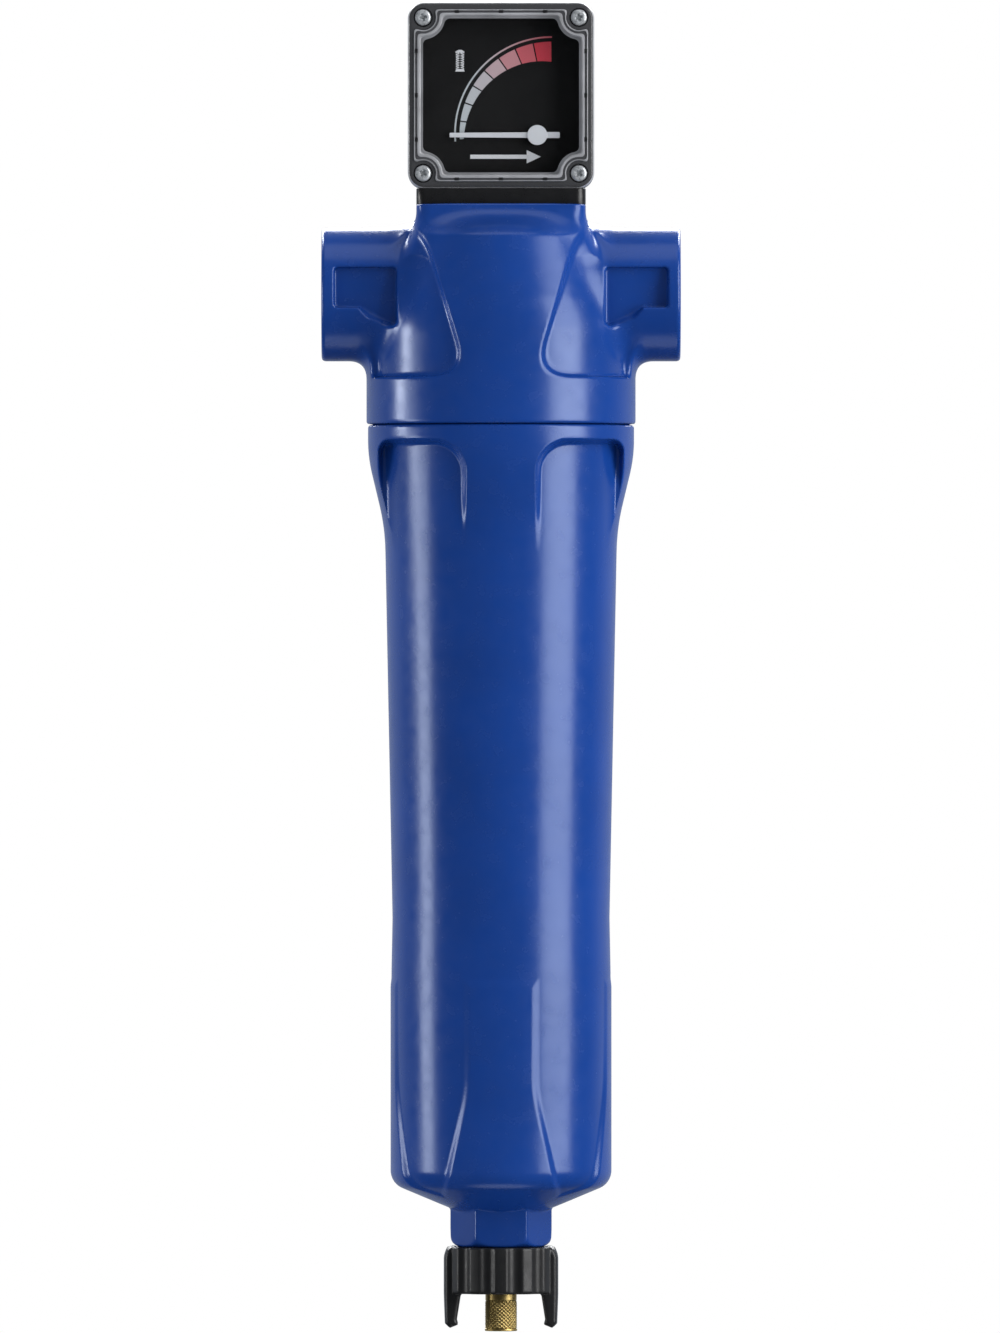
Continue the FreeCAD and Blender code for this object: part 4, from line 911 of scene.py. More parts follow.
def nut_field(x, y, z):
    """Distance to the grip nut's surface: fluted ring, two wings with hooked feet, recess and bore."""
    radius = np.hypot(x, y)
    ring = soft_max(soft_max(radius - NUT_RING_R, z - NUT_TOP_Z, rounding(1)), NUT_LOW_Z - z, rounding(1.2))
    sector = 2 * math.pi / FLUTES
    turn = np.arctan2(y, x) % sector - sector / 2
    flute = np.hypot(radius * np.cos(turn) - 22.7, radius * np.sin(turn)) - 3.5
    ring = soft_max(ring, -flute, 0.9)
    wing = soft_max(outline_distance(np.abs(x), z, WING_OUTLINE), np.abs(y) - WING_HALF_Y, rounding(1.6))
    wing = soft_max(wing, radius - WING_R, 1.8)
    wing = soft_max(wing, slanted(radius - WING_R, z - WING_TOP_Z + 2.6, 1, 1), 2.4)
    recess = (radius - 17.85) * 0.55 - (z - NUT_TOP_Z) * 0.83
    recess = np.maximum(recess, NUT_TOP_Z - z)
    return soft_max(soft_min(ring, wing, 1.2), -np.minimum(recess, radius - NUT_BORE_R), 0.6)


def nut_plastic(context):
    colour = tuple(context.scene.filter_colours.nut)
    return finish_of(moulded_black, "grip_nut_plastic", colour, 0.4, 1400, 0.00004)


class FILTER_OT_grip_nut(bpy.types.Operator):
    """Skin of the drain's fluted grip nut with its two wings"""
    bl_idname = "filter.grip_nut"
    bl_label = "Grip nut"

    def execute(self, context):
        cell = context.scene.filter_sizes.nut_cell / MM
        points, faces, normals = skin(nut_field, (-23.7, -23.7, -404.0), (23.7, 23.7, -370.0), cell)
        nut = piece("grip_nut", points, faces, [nut_plastic(context)], "bowl", normals)
        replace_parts(nut, "drain_wing_nut")
        return {"FINISHED"}


def spout_profile():
    """Ring of (radius, height) corners of the spout apart from its knurl."""
    outside = rounded_run([
        (2.0, -375.0, 0), (6.0, -375.0, 0.6), (6.0, -377.0, 0.1), (5.0, -377.05, 0.1), (5.0, -379.0, 0.1),
        (6.0, -379.1, 0.1), (6.0, -388.3, 0.1), (6.1, -388.35, 0.1), (6.1, -392.4, 0.25), (5.8, -392.7, 0.1),
        (5.8, -403.4, 0.2), (6.3, -403.6, 0.2), (6.35, -404.1, 0.2), (6.1, -404.4, 0.1), (4.6, -404.4, 0.1),
        (4.3, -404.1, 0)], 4)
    hose_thread = [(4.3 - 0.35 * (i % 2), -403.6 + 0.6 * i) for i in range(15)]
    return np.concatenate([outside, hose_thread, [(3.9, -394.6), (2.0, -392.4)]])


SOCKETS = {float: "NodeSocketFloat", int: "NodeSocketInt", tuple: "NodeSocketColor"}


class Shape:
    """A geometry tree with named inputs, and short ways to add its nodes."""

    def __init__(self, name, **inputs):
        self.tree = bpy.data.node_groups.new(name, "GeometryNodeTree")
        self.sockets = {}
        self.socket("Geometry", "NodeSocketGeometry")
        for key, default in inputs.items():
            self.socket(key, SOCKETS[type(default)]).default_value = default
        self.socket("Finish", "NodeSocketMaterial")
        self.tree.interface.new_socket(name="Geometry", in_out="OUTPUT", socket_type="NodeSocketGeometry")
        self.start = self.tree.nodes.new("NodeGroupInput")
        self.end = self.tree.nodes.new("NodeGroupOutput")

    def socket(self, key, kind):
        self.sockets[key] = self.tree.interface.new_socket(name=key.replace("_", " "), in_out="INPUT",
                                                           socket_type=kind)
        return self.sockets[key]

    def value(self, name):
        return self.start.outputs[name.replace("_", " ")]

    def add(self, kind, **values):
        """A node with its settings and inputs, where _2 is the input with number 2."""
        node = self.tree.nodes.new(kind)
        for key, value in values.items():
            if hasattr(node, key):
                setattr(node, key, value)
                continue
            socket = node.inputs[int(key[1:]) if key[0] == "_" else key.replace("_", " ")]
            if isinstance(value, bpy.types.NodeSocket):
                self.tree.links.new(value, socket)
            else:
                socket.default_value = value
        return node

    def math(self, operation, *values):
        inputs = {f"_{i}": value for i, value in enumerate(values)}
        return self.add("ShaderNodeMath", operation=operation, **inputs).outputs[0]

    def plus(self, a, b):
        return self.math("ADD", a, b)

    def less(self, a, b):
        return self.math("SUBTRACT", a, b)

    def times(self, a, b):
        return self.math("MULTIPLY", a, b)

    def over(self, a, b):
        return self.math("DIVIDE", a, b)

    def place(self):
        """The point's place, split into X, Y and Z."""
        place = self.add("GeometryNodeInputPosition").outputs[0]
        return self.add("ShaderNodeSeparateXYZ", Vector=place).outputs

    def vector(self, x, y, z):
        return self.add("ShaderNodeCombineXYZ", X=x, Y=y, Z=z).outputs["Vector"]

    def on_points(self, source, turn):
        """Copies of the source on the points of the base, turned about Y."""
        rotation = self.add("FunctionNodeEulerToRotation", Euler=self.vector(0.0, turn, 0.0))
        copies = self.add("GeometryNodeInstanceOnPoints", Points=self.value("Geometry"),
                          Instance=source, Rotation=rotation.outputs["Rotation"])
        self.close(copies.outputs["Instances"])
        return self

    def close(self, geometry):
        """Real copies in place of instances, with the finish that the modifier names."""
        real = self.add("GeometryNodeRealizeInstances", Geometry=geometry)
        painted = self.add("GeometryNodeSetMaterial", Geometry=real.outputs["Geometry"],
                           Material=self.value("Finish"))
        self.tree.links.new(painted.outputs["Geometry"], self.end.inputs["Geometry"])

    def grow(self, name, base, finish, **values):
        """A plain mesh piece that this tree makes on a base object."""
        modifier = base.modifiers.new("shape", "NODES")
        modifier.node_group = self.tree
        modifier[self.sockets["Finish"].identifier] = finish
        for key, value in values.items():
            modifier[self.sockets[key].identifier] = value
        return plain_mesh(base, name)


def bare_object(name, points=((0, 0, 0),)):
    mesh = bpy.data.meshes.new(name)
    mesh.from_pydata([tuple(c * MM for c in p) for p in points], [], [])
    return placed(name, mesh)


def knurled_band():
    """Turned band whose surface rises in crossed ridges."""
    shape = Shape("knurled_band", Radius=0.0058, Depth=0.0002,
                  Ridges=30, Height=0.0107, Foot=0.0)
    tube = shape.add("GeometryNodeMeshCylinder", fill_type="NONE", Vertices=180, Side_Segments=56,
                     Radius=shape.value("Radius"), Depth=shape.value("Height"))
    parts = shape.place()
    turn = shape.math("ARCTAN2", parts["Y"], parts["X"])
    count = shape.over(shape.value("Ridges"), 2 * math.pi)
    around = shape.times(turn, count)
    pitch = shape.over(shape.times(shape.value("Radius"), 2 * math.pi), shape.value("Ridges"))
    up = shape.over(parts["Z"], pitch)
    left = shape.math("PINGPONG", shape.plus(around, up), 0.5)
    right = shape.math("PINGPONG", shape.less(around, up), 0.5)
    ridge = shape.times(shape.times(left, right), 4.0)
    half = shape.times(shape.value("Height"), 0.5)
    near_end = shape.less(half, shape.math("ABSOLUTE", parts["Z"]))
    fade = shape.math("MINIMUM", shape.times(near_end, 2500.0), 1.0)
    rise = shape.times(shape.times(ridge, shape.value("Depth")), fade)
    grown = shape.plus(1.0, shape.over(rise, shape.value("Radius")))
    lowered = shape.plus(parts["Z"], shape.value("Foot"))
    moved = shape.vector(shape.times(parts["X"], grown), shape.times(parts["Y"], grown), lowered)
    raised = shape.add("GeometryNodeSetPosition", Geometry=tube.outputs["Mesh"], Position=moved)
    shape.close(raised.outputs["Geometry"])
    return shape


def brass(context):
    colour = tuple(context.scene.filter_colours.brass)
    return finish_of(bare_metal, "turned_brass", colour, 0.42, (60, 60, 5200))


class FILTER_OT_spout(bpy.types.Operator):
    """Turned brass spout with its knurled band and hose thread"""
    bl_idname = "filter.spout"
    bl_label = "Drain spout"

    def execute(self, context):
        sizes = context.scene.filter_sizes
        points, faces = lathe(spout_profile(), 72)
        spout = piece("brass_spout", points, faces, [brass(context)], "drain_spout",
                      area_normals(points, faces))
        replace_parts(spout, "drain_spout")
        band_r, band_height, band_middle_z = 5.95, 10.7, -398.05
        band = knurled_band().grow("spout_knurl", bare_object("band_base"), brass(context),
                                   Ridges=sizes.knurl_count, Depth=sizes.knurl_depth, Radius=band_r * MM,
                                   Height=band_height * MM, Foot=band_middle_z * MM)
        seat(band, "drain_spout")
        return {"FINISHED"}


# Gauge

GAUGE_Z = 77.3
SCREW_HALF = 30.35
SCREW_PLACES = [(x, -19.0, GAUGE_Z + z) for x in (-SCREW_HALF, SCREW_HALF) for z in (-SCREW_HALF, SCREW_HALF)]


def bevelled_copy(node, name, width, material, body, segments=2):
    """A copy of a CAD node with its edges rounded."""
    source = NODES[node]
    mesh = source.data.copy()
    work = bmesh.new()
    work.from_mesh(mesh)
    bmesh.ops.remove_doubles(work, verts=work.verts, dist=1e-6)
    bmesh.ops.dissolve_limit(work, angle_limit=math.radians(0.6), verts=work.verts, edges=work.edges)
    work.to_mesh(mesh)
    work.free()
    mesh.materials.clear()
    mesh.materials.append(material)
    obj = placed(name + "_base", mesh)
    edge = obj.modifiers.new("edges", "BEVEL")
    edge.width = width * MM
    edge.segments = segments
    edge.limit_method = "ANGLE"
    edge.angle_limit = math.radians(32)
    made = plain_mesh(obj, name)
    made.data.shade_smooth()
    made.data.set_sharp_from_angle(angle=math.radians(35))
    seat(made, body)
    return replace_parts(made, node)


class FILTER_OT_gauge_case(bpy.types.Operator):
    """Gauge base and square case with moulded edges"""
    bl_idname = "filter.gauge_case"
    bl_label = "Gauge case"

    def execute(self, context):
        bevelled_copy("gauge_block", "gauge_base", 0.5, case_black(context), "head")
        bevelled_copy("gauge_case", "gauge_shell", 0.5, case_black(context), "head")
        return {"FINISHED"}


WINDOW_HALF_X, WINDOW_HALF_Z, WINDOW_CORNER, WINDOW_RELIEF_R = 31.6, 31.2, 1.5, 7.3


def window_field(x, z, grow):
    """Distance to the window's outline, which curves in round each screw."""
    straight = plate_distance(x, z, WINDOW_HALF_X + grow, WINDOW_HALF_Z + grow, WINDOW_CORNER + grow)
    relief = WINDOW_RELIEF_R - grow - np.hypot(np.abs(x) - SCREW_HALF, np.abs(z) - SCREW_HALF)
    return soft_max(straight, relief, 2.2)


def loop_radius(field, angles):
    """Distance from the middle to a closed outline at each angle."""
    low, high, halvings = np.full_like(angles, 5.0), np.full_like(angles, 60.0), 40
    for _ in range(halvings):
        middle = (low + high) / 2
        inside = field(middle * np.cos(angles), middle * np.sin(angles)) < 0
        low = np.where(inside, middle, low)
        high = np.where(inside, high, middle)
    return low


COVER_HALF, COVER_BACK_Y, COVER_EDGE_Y, COVER_FRONT_Y, COVER_EDGE_R = 36.3, -14.0, -19.2, -21.0, 1.8
RIM_Y, WINDOW_Y, WINDOW_BACK_Y = -21.8, -20.85, -18.9
# Finishes of the cover's strips; the second is a light grey that paints the highlight on the rim and the outer
# edge.
SMOKE, PAINTED_HIGHLIGHT, CLEAR = 0, 1, 2


def cover_loops():
    """Loops of the clear cover from its back edge over the front to the window, with a finish for each strip,
    and the numbers of the two loops that close the window."""
    def square(inset):
        return lambda x, z: plate_distance(x, z, COVER_HALF - inset, COVER_HALF - inset, 6.6 - inset)

    def window(grow):
        return lambda x, z: window_field(x, z, grow)

    loops = [(square(2.4), COVER_BACK_Y, SMOKE), (square(0.0), COVER_BACK_Y, SMOKE),
             (square(0.0), COVER_EDGE_Y, SMOKE)]
    # The outer edge's rounding: its first part carries the painted highlight.
    for turn in (22.5, 45, 67.5, 90):
        angle = math.radians(turn)
        loops.append((square(COVER_EDGE_R * (1 - math.cos(angle))),
                      COVER_EDGE_Y - COVER_EDGE_R * math.sin(angle), PAINTED_HIGHLIGHT if turn < 50 else SMOKE))
    # The window's rim: light grey strips that paint its highlight, between smoky ones.
    loops += [(window(grow), y, finish) for grow, y, finish in (
        (2.3, COVER_FRONT_Y, SMOKE), (2.2, -21.55, PAINTED_HIGHLIGHT), (2.05, RIM_Y, PAINTED_HIGHLIGHT), (1.85, RIM_Y, PAINTED_HIGHLIGHT),
        (1.75, -21.5, SMOKE), (1.0, -21.5, SMOKE), (0.9, RIM_Y, PAINTED_HIGHLIGHT), (0.2, RIM_Y, PAINTED_HIGHLIGHT),
        (0.0, -21.6, PAINTED_HIGHLIGHT), (-0.15, COVER_FRONT_Y, PAINTED_HIGHLIGHT), (-0.3, -20.9, PAINTED_HIGHLIGHT), (-1.2, WINDOW_Y, CLEAR),
        (-12, WINDOW_Y, CLEAR), (-12, WINDOW_BACK_Y, CLEAR), (-1.2, WINDOW_BACK_Y, CLEAR), (0.0, -18.6, PAINTED_HIGHLIGHT),
        (2.4, -18.6, PAINTED_HIGHLIGHT))]
    front = next(i for i, loop in enumerate(loops) if loop[2] == CLEAR) + 1
    return loops + [(square(3.4), -18.6, SMOKE), (square(2.4), -17.8, SMOKE)], front, front + 1


class FILTER_OT_cover(bpy.types.Operator):
    """Clear cover: smoky border, rim and outer edge in a light grey that paints their highlight, and clear
    window
    """
    bl_idname = "filter.cover"
    bl_label = "Gauge cover"

    def execute(self, context):
        smoke = clear_pane("smoky_border", (0.4, 0.4, 0.42), 0.16, 0.45, 0.3)
        clear = clear_pane("clear_window", (0.98, 0.98, 0.985), 0.05, 0.02, 0.02)
        near_corners = [np.arange(corner - 13, corner + 13, 0.5) for corner in (45, 135, 225, 315)]
        angles = np.radians(np.unique(np.concatenate([np.arange(0, 360, 1.5)] + near_corners)))
        loops, front, back = cover_loops()
        rings = []
        for field, y, _ in loops:
            radius = loop_radius(field, angles)
            rings.append(np.stack([radius * np.cos(angles), np.full_like(angles, y),
                                   GAUGE_Z + radius * np.sin(angles)], 1))
        columns = len(angles)
        grid = grid_faces(len(loops) + 1, columns) % (len(loops) * columns)
        row = np.repeat(np.arange(len(loops)), columns)
        strips = np.array([loops[(i + 1) % len(loops)][2] for i in range(len(loops))])
        faces = grid[row != front].tolist()
        faces.append(range(front * columns, (front + 1) * columns))
        faces.append(range(back * columns + columns - 1, back * columns - 1, -1))
        finishes = [*strips[row[row != front]], CLEAR, CLEAR]
        cover = piece("gauge_cover_base", np.concatenate(rings), faces, [smoke, rim_painted_highlight(), clear],
                      None, slots_of_faces=finishes)
        face_out(cover.data)
        cutters = []
        seat_points, seat_faces = lathe([(3.75, 26.0), (3.75, 19.0), (0.02, 19.0), (0.02, 26.0)], 48)
        for x, _, z in SCREW_PLACES:
            turned = np.stack([seat_points[:, 0] + x, -seat_points[:, 2], seat_points[:, 1] + z], 1)
            cutters.append(piece("seat_cutter", turned, outward(turned, seat_faces), [smoke], None))
            cut = cover.modifiers.new("seat", "BOOLEAN")
            cut.operation = "DIFFERENCE"
            cut.solver = "EXACT"
            cut.object = cutters[-1]
        made = plain_mesh(cover, "clear_cover")
        for cutter in cutters:
            bpy.data.objects.remove(cutter)
        made.data.shade_smooth()
        made.data.set_sharp_from_angle(angle=math.radians(32))
        seat(made, "head")
        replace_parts(made, "gauge_cover")
        return {"FINISHED"}


def rim_tab_tree():
    """Small tabs, one at each point, turned to the rim."""
    shape = Shape("rim_tabs", Width=0.0024)
    tab = shape.add("GeometryNodeMeshCube", Vertices_X=3, Vertices_Y=2, Vertices_Z=3,
                    Size=shape.vector(shape.value("Width"), 0.0008, 0.0012))
    turn = shape.add("GeometryNodeInputNamedAttribute", data_type="FLOAT", Name="turn")
    return shape.on_points(tab.outputs["Mesh"], turn.outputs["Attribute"])


class FILTER_OT_rim_tabs(bpy.types.Operator):
    """Twelve small tabs on the window's rim"""
    bl_idname = "filter.rim_tabs"
    bl_label = "Rim tabs"

    def execute(self, context):
        tab_x, tab_y, tab_z = 33.0, -21.4, 32.6
        places, turns = [], []
        for along in (-17.2, 0.0, 17.2):
            places += [(along, tab_y, GAUGE_Z + tab_z), (along, tab_y, GAUGE_Z - tab_z),
                       (tab_x, tab_y, GAUGE_Z + along), (-tab_x, tab_y, GAUGE_Z + along)]
            turns += [0.0, 0.0, math.pi / 2, math.pi / 2]
        base = bare_object("tab_places", places)
        attribute = base.data.attributes.new("turn", "FLOAT", "POINT")
        attribute.data.foreach_set("value", turns)
        tabs = rim_tab_tree().grow("rim_tabs", base, case_black(context),
                                   Width=context.scene.filter_sizes.tab_width)
        seat(tabs, "head")
        return {"FINISHED"}


def recessed_head(radius, height, recess):
    """Pan head facing -Y with a cross recess, about the origin."""
    columns = 72
    angles = np.arange(columns) * 2 * math.pi / columns
    rows = [(radius - 0.25, 0.0), (radius, -0.35), (radius, -0.45 * height)]
    for turn in (20, 40, 60, 80):
        angle = math.radians(turn)
        rows.append((radius - 1.0 * (1 - math.cos(angle)), -0.45 * height - 0.5 * height * math.sin(angle)))
    for share in (0.62, 0.56, 0.5, 0.44, 0.38, 0.32, 0.26, 0.2, 0.14, 0.08, 0.02):
        rows.append((radius * share, -height))
    points = []
    for r, y in rows:
        x, z = r * np.cos(angles), r * np.sin(angles)
        near, far = np.minimum(np.abs(x), np.abs(z)), np.maximum(np.abs(x), np.abs(z))
        sunk = step(0.15 * radius - near + 0.1 * (0.45 * radius - far), 0.16) * step(0.44 * radius - far, 0.3)
        points.append(np.stack([x, y + sunk * recess * (y < -0.9 * height), z], 1))
    return np.concatenate(points), len(rows), columns


def screw_tree(source):
    """A screw head on each point, each turned its own way."""
    shape = Shape("cover_screws", Seed=4)
    head = shape.add("GeometryNodeObjectInfo", transform_space="ORIGINAL", Object=source)
    spin = shape.add("FunctionNodeRandomValue", data_type="FLOAT", _2=-0.5, _3=0.9,
                     Seed=shape.value("Seed"))
    return shape.on_points(head.outputs["Geometry"], spin.outputs[1])


def zinc():
    return finish_of(zinc_plate, "zinc_screw")


class FILTER_OT_cover_screws(bpy.types.Operator):
    """Four cross-recessed screws that hold the cover"""
    bl_idname = "filter.cover_screws"
    bl_label = "Cover screws"

    def execute(self, context):
        points, rows, columns = recessed_head(radius=3.2, height=2.2, recess=1.3)
        faces = [tuple(f) for f in grid_faces(rows, columns)]
        faces.append(tuple(range(columns - 1, -1, -1)))
        faces.append(tuple(range((rows - 1) * columns, rows * columns)))
        source = piece("screw_source", points, faces, [], None)
        face_out(source.data)
        source.data.set_sharp_from_angle(angle=math.radians(50))
        heads = screw_tree(source).grow("cover_screw_heads", bare_object("screw_places", SCREW_PLACES), zinc())
        bpy.data.objects.remove(source)
        seat(heads, "head")
        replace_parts(heads, "gauge_cover_screws")
        return {"FINISHED"}


# Dial

def dial_scale_tree():
    """Band of segments that thickens round an arc, with an ink that follows it."""
    shape = Shape("dial_scale", Segments=8, Gap=0.015, Start=0.0, Sweep=1.6, Outer=0.0363, Thin=0.0015,
                  Thick=0.0074, Low_ink=(1, 1, 1, 1), High_ink=(1, 0, 0, 1))
    line = shape.add("GeometryNodeMeshLine", Count=shape.value("Segments"), Offset=(0, 0, 0))
    number = shape.add("GeometryNodeInputIndex").outputs[0]
    marked = shape.add("GeometryNodeStoreNamedAttribute", data_type="FLOAT", domain="POINT",
                       Geometry=line.outputs["Mesh"], Name="segment", Value=number)
    tile = shape.add("GeometryNodeMeshGrid", Size_X=1.0, Size_Y=1.0, Vertices_X=7, Vertices_Y=3)
    copies = shape.add("GeometryNodeInstanceOnPoints", Points=marked.outputs["Geometry"],
                       Instance=tile.outputs["Mesh"])
    real = shape.add("GeometryNodeRealizeInstances", Geometry=copies.outputs["Instances"])
    parts = shape.place()
    segment = shape.add("GeometryNodeInputNamedAttribute", data_type="FLOAT", Name="segment")
    pitch = shape.over(shape.value("Sweep"), shape.value("Segments"))
    wide = shape.less(pitch, shape.value("Gap"))
    middle = shape.times(shape.plus(segment.outputs["Attribute"], 0.5), pitch)
    angle = shape.plus(middle, shape.times(parts["X"], wide))
    share = shape.over(angle, shape.value("Sweep"))
    growth = shape.times(shape.less(shape.value("Thick"), shape.value("Thin")), share)
    width = shape.plus(shape.value("Thin"), growth)
    inwards = shape.times(shape.less(0.5, parts["Y"]), width)
    radius = shape.less(shape.value("Outer"), inwards)
    turned = shape.plus(angle, shape.value("Start"))
    across = shape.times(shape.times(shape.math("COSINE", turned), radius), -1.0)
    upward = shape.times(shape.math("SINE", turned), radius)
    bent = shape.add("GeometryNodeSetPosition", Geometry=real.outputs["Geometry"],
                     Position=shape.vector(across, 0.0, upward))
    along = shape.over(segment.outputs["Attribute"], shape.less(shape.value("Segments"), 1.0))
    reddening = shape.add("ShaderNodeMapRange", interpolation_type="SMOOTHSTEP",
                          Value=shape.math("POWER", along, 1.8))
    ink = shape.add("ShaderNodeMix", data_type="RGBA", _0=reddening.outputs["Result"],
                    _6=shape.value("Low ink"), _7=shape.value("High ink"))
    inked = shape.add("GeometryNodeStoreNamedAttribute", data_type="FLOAT_COLOR", domain="CORNER",
                      Geometry=bent.outputs["Geometry"], Name="ink", Value=ink.outputs[2])
    shape.close(inked.outputs["Geometry"])
    return shape


PRINT_Y, PRINT_WHITE = -11.03, (0.78, 0.79, 0.8)
ARC_X, ARC_Z, ARC_OUTER_R, ARC_INNER_R, ARC_START = 19.85, 62.5, 38.1, 37.45, -4.5
SCALE_R, SCALE_THIN, SCALE_THICK, SCALE_START = 36.0, 1.5, 7.9, -3.8


def flat_print(name, outlines, finish, inks=None):
    """Printed shapes on the dial, each a flat outline of (x, z) corners."""
    points, faces, colours = [], [], []
    for number, corners in enumerate(outlines):
        first = len(points)
        points += [(x, PRINT_Y, z) for x, z in corners]
        faces.append(tuple(range(first, first + len(corners))))
        colours += [inks[number] if inks else PRINT_WHITE] * len(corners)
    obj = piece(name, points, faces, [finish], None)
    ink = obj.data.attributes.new("ink", "FLOAT_COLOR", "CORNER")
    ink.data.foreach_set("color", np.array([(*c, 1) for c in colours], np.float32).ravel())
    face_front(obj.data)
    obj.data.shade_flat()
    return seat(obj, "head")


class FILTER_OT_dial_print(bpy.types.Operator):
    """Print on the dial: segmented scale, thin arc, arrow and a small element symbol"""
    bl_idname = "filter.dial_print"
    bl_label = "Dial print"

    def execute(self, context):
        sizes, colours = context.scene.filter_sizes, context.scene.filter_colours
        ink = scale_ink()
        base = bare_object("scale_base")
        scale = dial_scale_tree().grow(
            "dial_scale", base, ink, Segments=sizes.scale_segments, Gap=sizes.scale_gap,
            Start=math.radians(SCALE_START), Sweep=math.radians(90 - SCALE_START), Outer=SCALE_R * MM,
            Thin=SCALE_THIN * MM, Thick=SCALE_THICK * MM,
            Low_ink=(*colours.low_scale, 1.0), High_ink=(*colours.high_scale, 1.0))
        scale.data.transform(Matrix.Translation((ARC_X * MM, PRINT_Y * MM, ARC_Z * MM)))
        face_front(scale.data)
        seat(scale, "head")
        arc, inks = [], []
        turns = np.radians(np.linspace(ARC_START, 90, 43))
        low, high = np.array(colours.low_scale), np.array(colours.high_scale)
        for first, second in zip(turns[:-1], turns[1:]):
            arc.append([(ARC_X - radius * math.cos(turn), ARC_Z + radius * math.sin(turn)) for turn, radius in (
                (first, ARC_OUTER_R), (second, ARC_OUTER_R), (second, ARC_INNER_R), (first, ARC_INNER_R))])
            share = max(0.0, (math.degrees(first) - 35) / 55) ** 1.2
            inks.append(tuple(low + (high - low) * share * 0.9))
        flat_print("dial_arc", arc, ink, inks)
        middle, half = 53.6, 0.8
        arrow = [(-12.0, middle - half), (10.2, middle - half), (10.2, middle + half), (-12.0, middle + half)]
        point = [(10.0, middle - 2.6), (15.5, middle), (10.0, middle + 2.6)]
        flat_print("dial_arrow", [arrow, point], ink)
        flat_print("dial_symbol", element_symbol(-16.0, 91.0), ink)
        return {"FINISHED"}


def element_symbol(x, z):
    """A small filter element: two caps with crossed threads between them."""
    shapes = [
        [(x - 1.75, z + 3.1), (x + 1.75, z + 3.1), (x + 1.75, z + 3.6), (x + 0.5, z + 4.3), (x - 0.5, z + 4.3),
         (x - 1.75, z + 3.6)],
        [(x - 1.8, z - 4.2), (x + 1.8, z - 4.2), (x + 1.5, z - 3.2), (x - 1.5, z - 3.2)],
    ]
    for k in range(7):
        low = z - 3.1 + k * 0.9
        for lean in (-1, 1):
            shapes.append([(x - 1.6 * lean, low), (x - 1.6 * lean, low + 0.32), (x + 1.6 * lean, low + 1.0),
                           (x + 1.6 * lean, low + 0.68)])
    return shapes


class FILTER_OT_pointer(bpy.types.Operator):
    """Pale pointer bar with its disc, edges rounded"""
    bl_idname = "filter.pointer"
    bl_label = "Pointer"

    def execute(self, context):
        pale = finish_of(pale_plastic, "pointer_pale", (0.78, 0.78, 0.8), 0.42)
        bevelled_copy("gauge_pointer", "pointer_bar", 0.22, pale, "gauge_pointer", 3)
        return {"FINISHED"}


# Carried-over nodes

def paint(material, *nodes):
    for name in nodes:
        for place in NODES[name].material_slots:
            place.material = material
        if not NODES[name].material_slots:
            NODES[name].data.materials.append(material)


class FILTER_OT_inner_pieces(bpy.types.Operator):
    """Finishes of the element, seals, gauge movement and drain"""
    bl_idname = "filter.inner_pieces"
    bl_label = "Inner pieces"

    def execute(self, context):
        paint(dial_black(), "gauge_dial")
        paint(rubber(), "bowl_o_ring", "element_o_rings", "gauge_port_o_rings", "gauge_cover_gasket",
              "gauge_plug_o_ring", "piston_seal", "drain_body_o_ring", "drain_valve_plug", "spout_o_ring")
        paint(zinc(), "gauge_mount_screws", "gauge_case_screws", "pointer_shaft", "drain_lever_pin")
        steel = bare_metal("perforated_steel", (0.55, 0.55, 0.56), 0.32, (200, 200, 3000))
        paint(steel, "element_inner_core", "element_outer_core", "gauge_spring", "drain_valve_seat")
        grey = bare_metal("piston_aluminium", (0.6, 0.61, 0.62), 0.3, (3000, 60, 60))
        paint(grey, "gauge_piston", "gauge_cylinder_liner", "gauge_cylinder_plug")
        paint(bare_metal("magnet_grey", (0.16, 0.16, 0.17), 0.4, (500, 500, 500)), "piston_magnet",
              "pointer_magnet_wheel")
        paint(brass(context), "pointer_bearing", "drain_lever")
        paint(pleated_media(), "element_media")
        paint(foam(), "element_foam_sleeve")
        caps = moulded_black("element_cap_black", (0.015, 0.015, 0.016), 0.42)
        paint(caps, "element_top_cap", "element_bottom_cap")
        drain = moulded_black("drain_black", (0.02, 0.02, 0.021), 0.45)
        paint(drain, "drain_body", "drain_cage", "drain_float")
        return {"FINISHED"}


# Studio

def softbox(name, place, target, width, height, power):
    data = bpy.data.lights.new(name, "AREA")
    data.shape = "RECTANGLE"
    data.size = width
    data.size_y = height
    data.energy = power
    lamp = placed(name, data)
    lamp.location = place
    lamp.rotation_euler = (Vector(target) - Vector(place)).to_track_quat("-Z", "Y").to_euler()
    lamp.visible_camera = False


